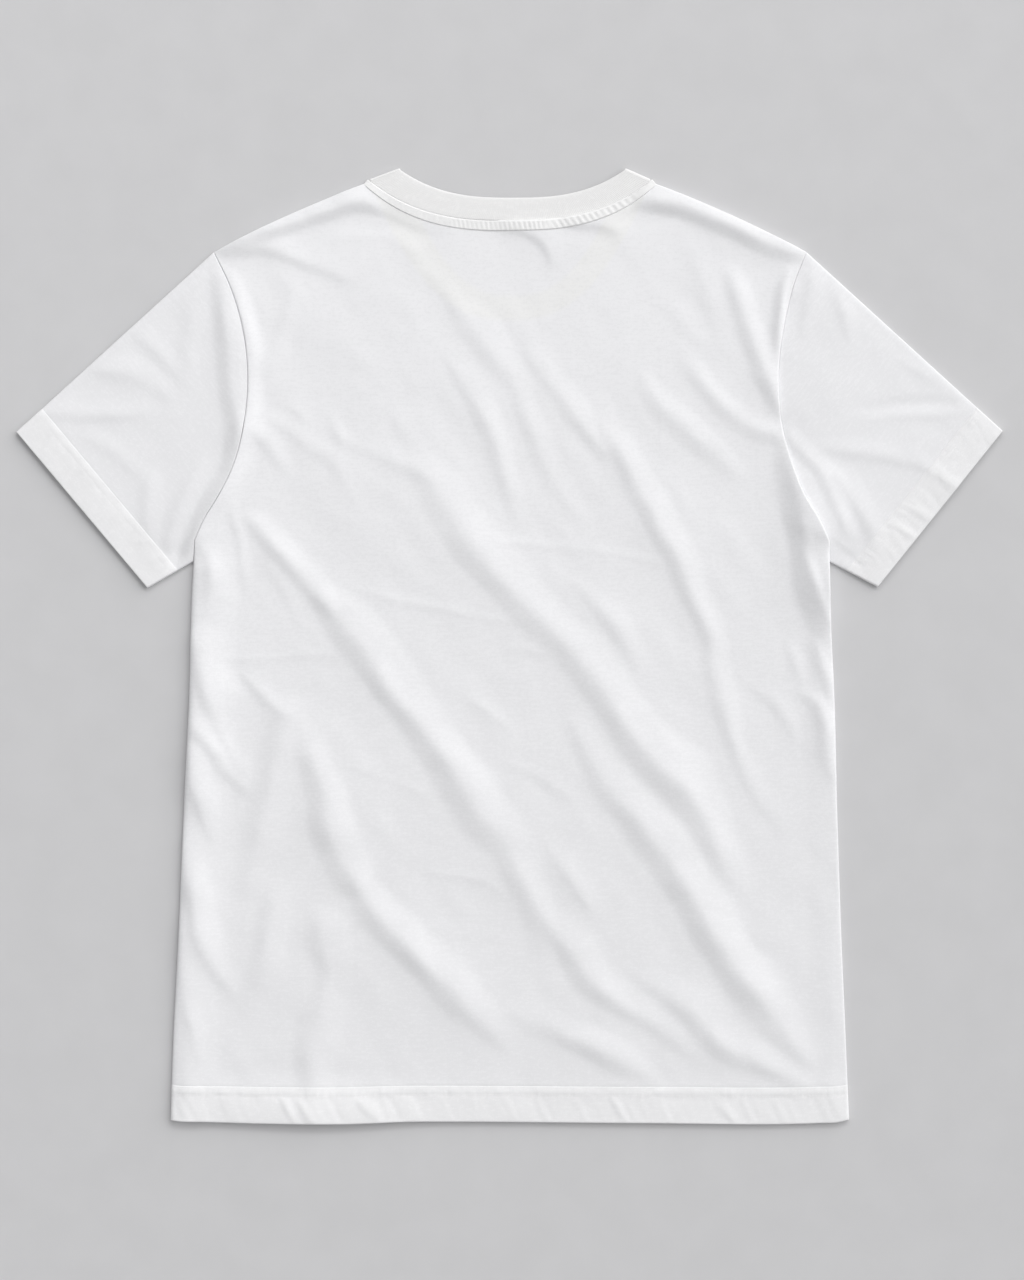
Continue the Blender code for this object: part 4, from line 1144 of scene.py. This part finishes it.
def stitchTree(material):              # one flattened bead of thread per stitch along each row
    tree, given, sockets = newTree("stitches", {
        "Pitch": "Float", "Length": "Float", "Thickness": "Float", "Unevenness": "Float", "Seed": "Int"})
    curve = node(tree, "GeometryNodeMeshToCurve", {"Mesh": given["Geometry"]})[0]
    places = node(tree, "GeometryNodeResampleCurve", {
        "Curve": curve, "Length": given["Pitch"]}, mode="LENGTH")[0]
    bead = node(tree, "GeometryNodeMeshUVSphere", {"Segments": 6, "Rings": 5, "Radius": 1.0})[0]
    half = maths(tree, "MULTIPLY", given["Length"], 0.5)
    thin = maths(tree, "MULTIPLY", given["Thickness"], 0.5)
    scale = node(tree, "ShaderNodeCombineXYZ", {"X": half, "Y": thin, "Z": thin})[0]
    tangent = node(tree, "GeometryNodeInputTangent")[0]
    turn = node(tree, "FunctionNodeAlignRotationToVector", {"Vector": tangent}, axis="X")[0]
    beads = node(tree, "GeometryNodeInstanceOnPoints", {
        "Points": places, "Instance": bead, "Rotation": turn, "Scale": scale})[0]
    chance = node(tree, "FunctionNodeRandomValue", {
        0: (-1, -1, -0.2), 1: (1, 1, 0.2), "Seed": given["Seed"]}, data_type="FLOAT_VECTOR")[0]
    shift = node(tree, "ShaderNodeVectorMath", {
        0: chance, "Scale": given["Unevenness"]}, operation="SCALE")[0]
    moved = node(tree, "GeometryNodeTranslateInstances", {"Instances": beads, "Translation": shift})[0]
    smoothed = node(tree, "GeometryNodeSetShadeSmooth", {0: moved})[0]
    finishTree(tree, smoothed, material)
    return tree, sockets


neckRibRing, ringLength = makeRib()
ribs, ribSockets = ribTree(rib)
neckRibRing = grown(neckRibRing, ribs, ribSockets, {
    "Count": float(round(ringLength / neckRib["ribPitch"])), "Height": neckRib["ribHeight"] * mm})
print("neck rib made")


# Sleeves: tubes that lie flat, q from 0 at the shoulder's fold to 1 at the underarm's

sleeves = {
    "left": {"cuffTop": (-384.2, 539.0), "cuffBottom": (-282.0, 417.3), "outward": -1, "seed": 51},
    "right": {"cuffTop": (384.2, 539.8), "cuffBottom": (286.7, 418.1), "outward": 1, "seed": 57},
}
sleeveShape = {
    "step": 2.4, "turn": (0, 0.1, 0.3, 0.6, 1.0),     # rows in from a turned edge
    "width": 165, "length": 170,       # about, of a layer
    "foldIn": 0.0068,                  # of a layer's width, from its fold to where it lies flat
    "foldTurn": (60, 30, 0, -30, -60),     # angles round a fold
    "seam": 3.2, "lowest": 1.8,
    "swell": 0.6, "fromArm": 50, "fromFold": 45, "fromCuff": 60,       # in the middle, and its reaches
    "cuffLift": 1.3, "cuffLiftFade": 45, "cuffLiftFromArm": 20,
    "armDip": 0.2, "armDipReach": 6,
    "foldCalm": 0.2, "foldCalmReach": 10, "unevenness": 0.8,
    "wall": 0.8, "lining": 0.8,        # the upper layer's thickness, and the lower one's share of it
    "round": 0.7, "lowRound": 0.5, "tuck": 0.3, "lowTuck": 0.6,
}
cuffShape = {
    "step": 0.7, "width": 160, "plain": (2, 18.4, 1.6), "stitched": (19, 26.2, 0.6),
    "rise": 0.08, "lip": 0.2, "seamShift": 1.1, "ridgeOutward": 15, "lowRound": 0.7,
    "wall": 1.0, "sideWall": 0.9, "lining": 0.75, "least": 0.1,
}


def aroundSleeve(step):                # share of a layer, side of a fold and angle, once round
    layer = np.linspace(0, 1, int(cuffShape["width"] / step) + 1)
    turn = np.radians(sleeveShape["foldTurn"])
    flat = np.full(len(layer), math.pi / 2)
    share = np.concatenate([layer, np.ones(len(turn)), layer[::-1], np.zeros(len(turn))])
    angle = np.concatenate([flat, turn, -flat, -turn])
    return share, np.where(share > 0.5, 1, -1), angle


def widthwise(share, side, angle, wall=0.0):
    inset = sleeveShape["foldIn"]
    return inset + share * (1 - 2 * inset) + side * (inset - wall / sleeveShape["width"]) * np.cos(angle)


# Places on a sleeve at q, inward from the line of its cuff's edge, and how far in its armhole is.
def sleevePlace(side, q, inward=0.0):
    sleeve = sleeves[side]
    up = cut["shoulderTip"] - q * (cut["shoulderTip"] - cut["underarm"])
    armhole = np.stack([sideEdge(side, up) + sleeve["outward"] * cut["seamGap"], up], -1)
    top, bottom = np.array(sleeve["cuffTop"]), np.array(sleeve["cuffBottom"])
    cuff = top + q[..., None] * (bottom - top)
    along = (bottom - top) / np.linalg.norm(bottom - top)
    reach = (armhole - cuff) @ (sleeve["outward"] * np.array([along[1], -along[0]]))
    return cuff + (armhole - cuff) * (inward / reach)[..., None], reach


def sleeveTop(side, q, inward):        # its upper layer's upper face
    places, reach = sleevePlace(side, q, inward)
    x, up = places[..., 0], places[..., 1]
    fromFold = np.minimum(q, 1 - q) * sleeveShape["width"]
    fromArm = reach - inward
    swell = (fade(fromArm, sleeveShape["fromArm"]) * fade(fromFold, sleeveShape["fromFold"])
             * fade(inward, sleeveShape["fromCuff"]))
    cuffLift = ((1 - fade(inward, sleeveShape["cuffLiftFade"]))
                * fade(fromArm, sleeveShape["cuffLiftFromArm"]))
    z = (sleeveShape["seam"] + sleeveShape["swell"] * swell + sleeveShape["cuffLift"] * cuffLift
         - sleeveShape["armDip"] * (1 - fade(fromArm, sleeveShape["armDipReach"])))
    least = sleeveShape["foldCalm"]
    calm = least + (1 - least) * fade(fromFold, sleeveShape["foldCalmReach"])
    relief = heightOn(sleeveRelief, x, up) + sleeveShape["unevenness"] * uneven(x, up)
    return np.maximum(z + calm * relief, sleeveShape["lowest"])


def tubeFace(places, low, high, angle):     # between a lower and an upper height, by the angle of a fold
    return np.dstack([places, low + (high - low) * ((1 + np.sin(angle)) / 2)])


def makeSleeve(side):
    share, edge, angle = aroundSleeve(sleeveShape["step"])
    q = widthwise(share, edge, angle)
    reach = sleevePlace(side, q)[1]
    turn = np.array(sleeveShape["turn"])[:, None]
    inside = stepsTo(0, 1, sleeveShape["step"] / sleeveShape["length"])[1:, None]
    fromArm = np.concatenate([
        np.repeat(turn, len(q), 1), turn[-1] + inside * (reach - turn[-1] - cut["cuffTop"]),
        reach - cut["cuffTop"] + cloth["tuckDepth"] * np.array([[0.5], [1]])])
    inward = reach - fromArm
    qs = np.repeat(q[None, :], len(inward), 0)
    tuck = sleeveShape["tuck"] * fade(cut["cuffTop"] - inward, cloth["tuckDepth"])
    top = sleeveTop(side, qs, inward)
    high = top - turnedDown(fromArm, sleeveShape["round"]) - tuck
    low = turnedDown(fromArm, sleeveShape["lowRound"]) + sleeveShape["lowTuck"] * tuck
    outer = tubeFace(sleevePlace(side, qs, inward)[0], low, high, angle)
    wall = sleeveShape["wall"]
    qInner = np.repeat(widthwise(share, edge, angle, wall)[None, :], len(inward), 0)
    innerLow = low + wall * sleeveShape["lining"]
    innerHigh = np.maximum(top - tuck - wall, innerLow + cloth["least"])
    inner = tubeFace(sleevePlace(side, qInner, inward)[0], innerLow, innerHigh, angle)
    clear = np.minimum(inner[..., 2], outer[..., 2] - cloth["least"])
    inner[..., 2] = np.where(angle > 1, clear, inner[..., 2])      # under the upper layer
    grain = np.dstack([qs * sleeveShape["width"], inward])
    return ringShell(side + "_sleeve_jersey", outer, inner, grain, jersey, side == "left")


# Places on a cuff, its heights above and below, and the one above as it is without stitches.
def cuffFaces(side, q, inward):
    relief = hemRelief(q * cuffShape["width"], inward + cuffShape["seamShift"], sleeves[side]["seed"],
                       cuffShape["ridgeOutward"])
    lip = turnedDown(cut["cuffTop"] - inward, cuffShape["lip"])
    plain = sleeveTop(side, q, inward) + cuffShape["rise"]
    return sleevePlace(side, q, inward)[0], plain + relief - lip, np.maximum(-relief, 0) + lip, plain


def makeCuff(side):
    share, edge, angle = aroundSleeve(cuffShape["step"])
    q = widthwise(share, edge, angle)
    rows = stripRows(sleeveShape["turn"], cuffShape, cut["cuffTop"])[::-1]
    inward = np.repeat(rows[:, None], len(q), 1)
    qs = np.repeat(q[None, :], len(rows), 0)
    places, high, low, plain = cuffFaces(side, qs, inward)
    turn = turnedDown(inward, sleeveShape["round"])
    outerLow, outerHigh = low + cuffShape["lowRound"] * turn, high - turn
    outer = tubeFace(places, outerLow, outerHigh, angle)
    qInner = np.repeat(widthwise(share, edge, angle, cuffShape["sideWall"])[None, :], len(rows), 0)
    innerHigh = np.minimum(plain - cuffShape["wall"], outerHigh - cuffShape["least"])
    innerLow = np.maximum(cuffShape["wall"] * cuffShape["lining"], outerLow + cuffShape["least"])
    inner = tubeFace(sleevePlace(side, qInner, inward)[0], innerLow, innerHigh, angle)
    grain = np.dstack([qs * cuffShape["width"], inward])
    return ringShell(side + "_cuff", outer, inner, grain, doubled, side == "left")


sleeveTubes = {side: makeSleeve(side) for side in sleeves}
cuffs = {side: makeCuff(side) for side in sleeves}
print("sleeves made")


# Stitches: twin rows round the hems and cuffs, and one in the groove beside each neck band

stitch = {
    "hem": {"Pitch": twinNeedle["pitch"] * mm, "Length": 2.25 * mm, "Thickness": 0.26 * mm,
            "Unevenness": 0.06 * mm, "Seed": 3},
    "neck": {"Pitch": 2.4 * mm, "Length": 2.0 * mm, "Thickness": 0.36 * mm,
             "Unevenness": 0.06 * mm, "Seed": 5},
    "sunk": 0.03, "underside": 0.2,    # in the upper face, and above the surface on the lower one
    "fromSide": 1.6, "cuffFrom": 0.008, "cuffPlaces": 240,
    "grooveShort": 1.5, "groovePlaces": 600, "grooveSunk": 0.45, "grooveUnderside": 0.28,
}


def threadRows(name, rows, kind):      # stitches along each row of places
    points, edges = [], []
    for row in rows:
        first = len(points)
        points += [(x * mm, up * mm + hemY, z * mm) for x, up, z in row.tolist()]
        edges += [(k, k + 1) for k in range(first, len(points) - 1)]
    mesh = bpy.data.meshes.new(name)
    mesh.from_pydata(points, edges, [])
    return grown(inScene(name, mesh), stitches, stitchSockets, stitch[kind])


def hemRow(fromEdge, underneath):
    left, right = [float(sideEdge(side, fromEdge)) for side in ("left", "right")]
    x = np.arange(left + stitch["fromSide"], right - stitch["fromSide"], hemStrip["step"])
    up = np.full(x.shape, float(fromEdge))
    z = np.full(x.shape, stitch["underside"]) if underneath else backHemTop(x, up) - stitch["sunk"]
    return np.column_stack([x, waved(x, up), z])


def cuffRows(side, fromEdge):
    q = np.linspace(stitch["cuffFrom"], 1 - stitch["cuffFrom"], stitch["cuffPlaces"])[None, :]
    places, high = cuffFaces(side, q, np.full(q.shape, fromEdge - cuffShape["seamShift"]))[:2]
    underneath = np.full(q.shape, stitch["underside"])
    return [np.dstack([places, z])[0] for z in (high - stitch["sunk"], underneath)]


def grooveRow(name, underneath):
    line = neckLine(name, 1.0, -stitch["grooveShort"], stitch["groovePlaces"])
    z = (np.full(len(line), stitch["grooveUnderside"]) if underneath
         else seamLevel(line[:, 0], line[:, 1]) - stitch["grooveSunk"])
    return np.column_stack([line, z])


stitches, stitchSockets = stitchTree(thread)
twin = twinNeedle["rows"]
backHemThread = threadRows("back_hem_stitches", [hemRow(row, False) for row in twin], "hem")
frontHemThread = threadRows("front_hem_stitches", [hemRow(row, True) for row in twin], "hem")
cuffThreads = {
    side: threadRows(side + "_cuff_stitches", [line for row in twin for line in cuffRows(side, row)], "hem")
    for side in sleeves}
backNeckThread = threadRows("back_neck_stitches", [grooveRow("backSeam", False)], "neck")
frontNeckThread = threadRows("front_neck_stitches", [grooveRow("frontSeam", True)], "neck")
print("stitches made")


# The surface it lies on, the light and the camera

studio = {
    "floor": {"colour": (0.622, 0.619, 0.626), "drop": 0.2, "half": 10,     # metres either way
              "roughness": 0.85, "specular": 0.1, "mottling": 0.014, "patches": 26},
    "world": {"Color": (0.985, 0.99, 1.0, 1), "Strength": 0.454},
    "key": {"from": (0.66, 0.54, 0.52), "spread": 75, "strength": 2.26},
    "top": {"at": (0, 2.2, 2.4), "size": (3, 0.8), "watts": 20.2},
}


def floorFinish():
    surface = studio["floor"]
    material, tree, inputs = newFinish("grey surface", surface["roughness"], surface["specular"])
    place = node(tree, "ShaderNodeTexCoord")["Object"]
    cloud = node(tree, "ShaderNodeTexNoise", {
        "Vector": place, "Scale": surface["patches"], "Detail": 5})["Fac"]
    tone = maths(tree, "MULTIPLY_ADD", cloud, 3, -1.5)
    tinted = mottled(tree, tone, surface["colour"], surface["mottling"])
    tree.links.new(tinted, inputs["Base Color"])
    return material


def makeFloor():
    half, z = studio["floor"]["half"], -studio["floor"]["drop"] * mm
    mesh = bpy.data.meshes.new("floor")
    corners = [(-half, -half, z), (half, -half, z), (half, half, z), (-half, half, z)]
    mesh.from_pydata(corners, [], [(0, 1, 2, 3)])
    mesh.materials.append(floorFinish())
    return inScene("floor", mesh)


def addLight(name, kind, place, energy):        # aimed at the garment's middle
    lamp = bpy.data.lights.new(name, kind)
    lamp.energy = energy
    made = inScene(name, lamp)
    made.location = place
    made.rotation_euler = (-Vector(place)).to_track_quat("-Z", "Y").to_euler()
    return lamp


world = bpy.data.worlds.new("studio")
world.use_nodes = True
for socket, value in studio["world"].items():
    world.node_tree.nodes["Background"].inputs[socket].default_value = value
bpy.context.scene.world = world
bpy.context.scene.view_settings.view_transform = "Standard"
key = addLight("key", "SUN", studio["key"]["from"], studio["key"]["strength"])
key.angle = math.radians(studio["key"]["spread"])
topLight = addLight("top light", "AREA", studio["top"]["at"], studio["top"]["watts"])
topLight.shape = "RECTANGLE"
topLight.size, topLight.size_y = studio["top"]["size"]
floor = makeFloor()

camera = {"lens": 85, "sensor": 36, "frameHigh": 998.4, "centre": (1.95, 4.8)}
lens = bpy.data.cameras.new("camera")
lens.lens, lens.sensor_width = camera["lens"], camera["sensor"]
seen = inScene("camera", lens)
seen.location = (camera["centre"][0] * mm, camera["centre"][1] * mm,
                 camera["frameHigh"] * mm * camera["lens"] / camera["sensor"])
bpy.context.scene.camera = seen
print("light and camera set")


# What each piece stands for

parts = {
    "back_panel": [backPanel, backHem, backBand, backHemThread, backNeckThread],
    "front_panel": [frontPanel, frontHem, frontBand, frontHemThread, frontNeckThread],
    "left_sleeve": [sleeveTubes["left"], cuffs["left"], cuffThreads["left"]],
    "right_sleeve": [sleeveTubes["right"], cuffs["right"], cuffThreads["right"]],
    "collar_rib": [neckRibRing],
}
for part, made in parts.items():
    for piece in made:
        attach(piece, "root")
        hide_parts(part)

triangles = {piece.name: sum(len(face.vertices) - 2 for face in piece.data.polygons)
             for made in parts.values() for piece in made}
print("triangles", triangles, "in all", sum(triangles.values()))
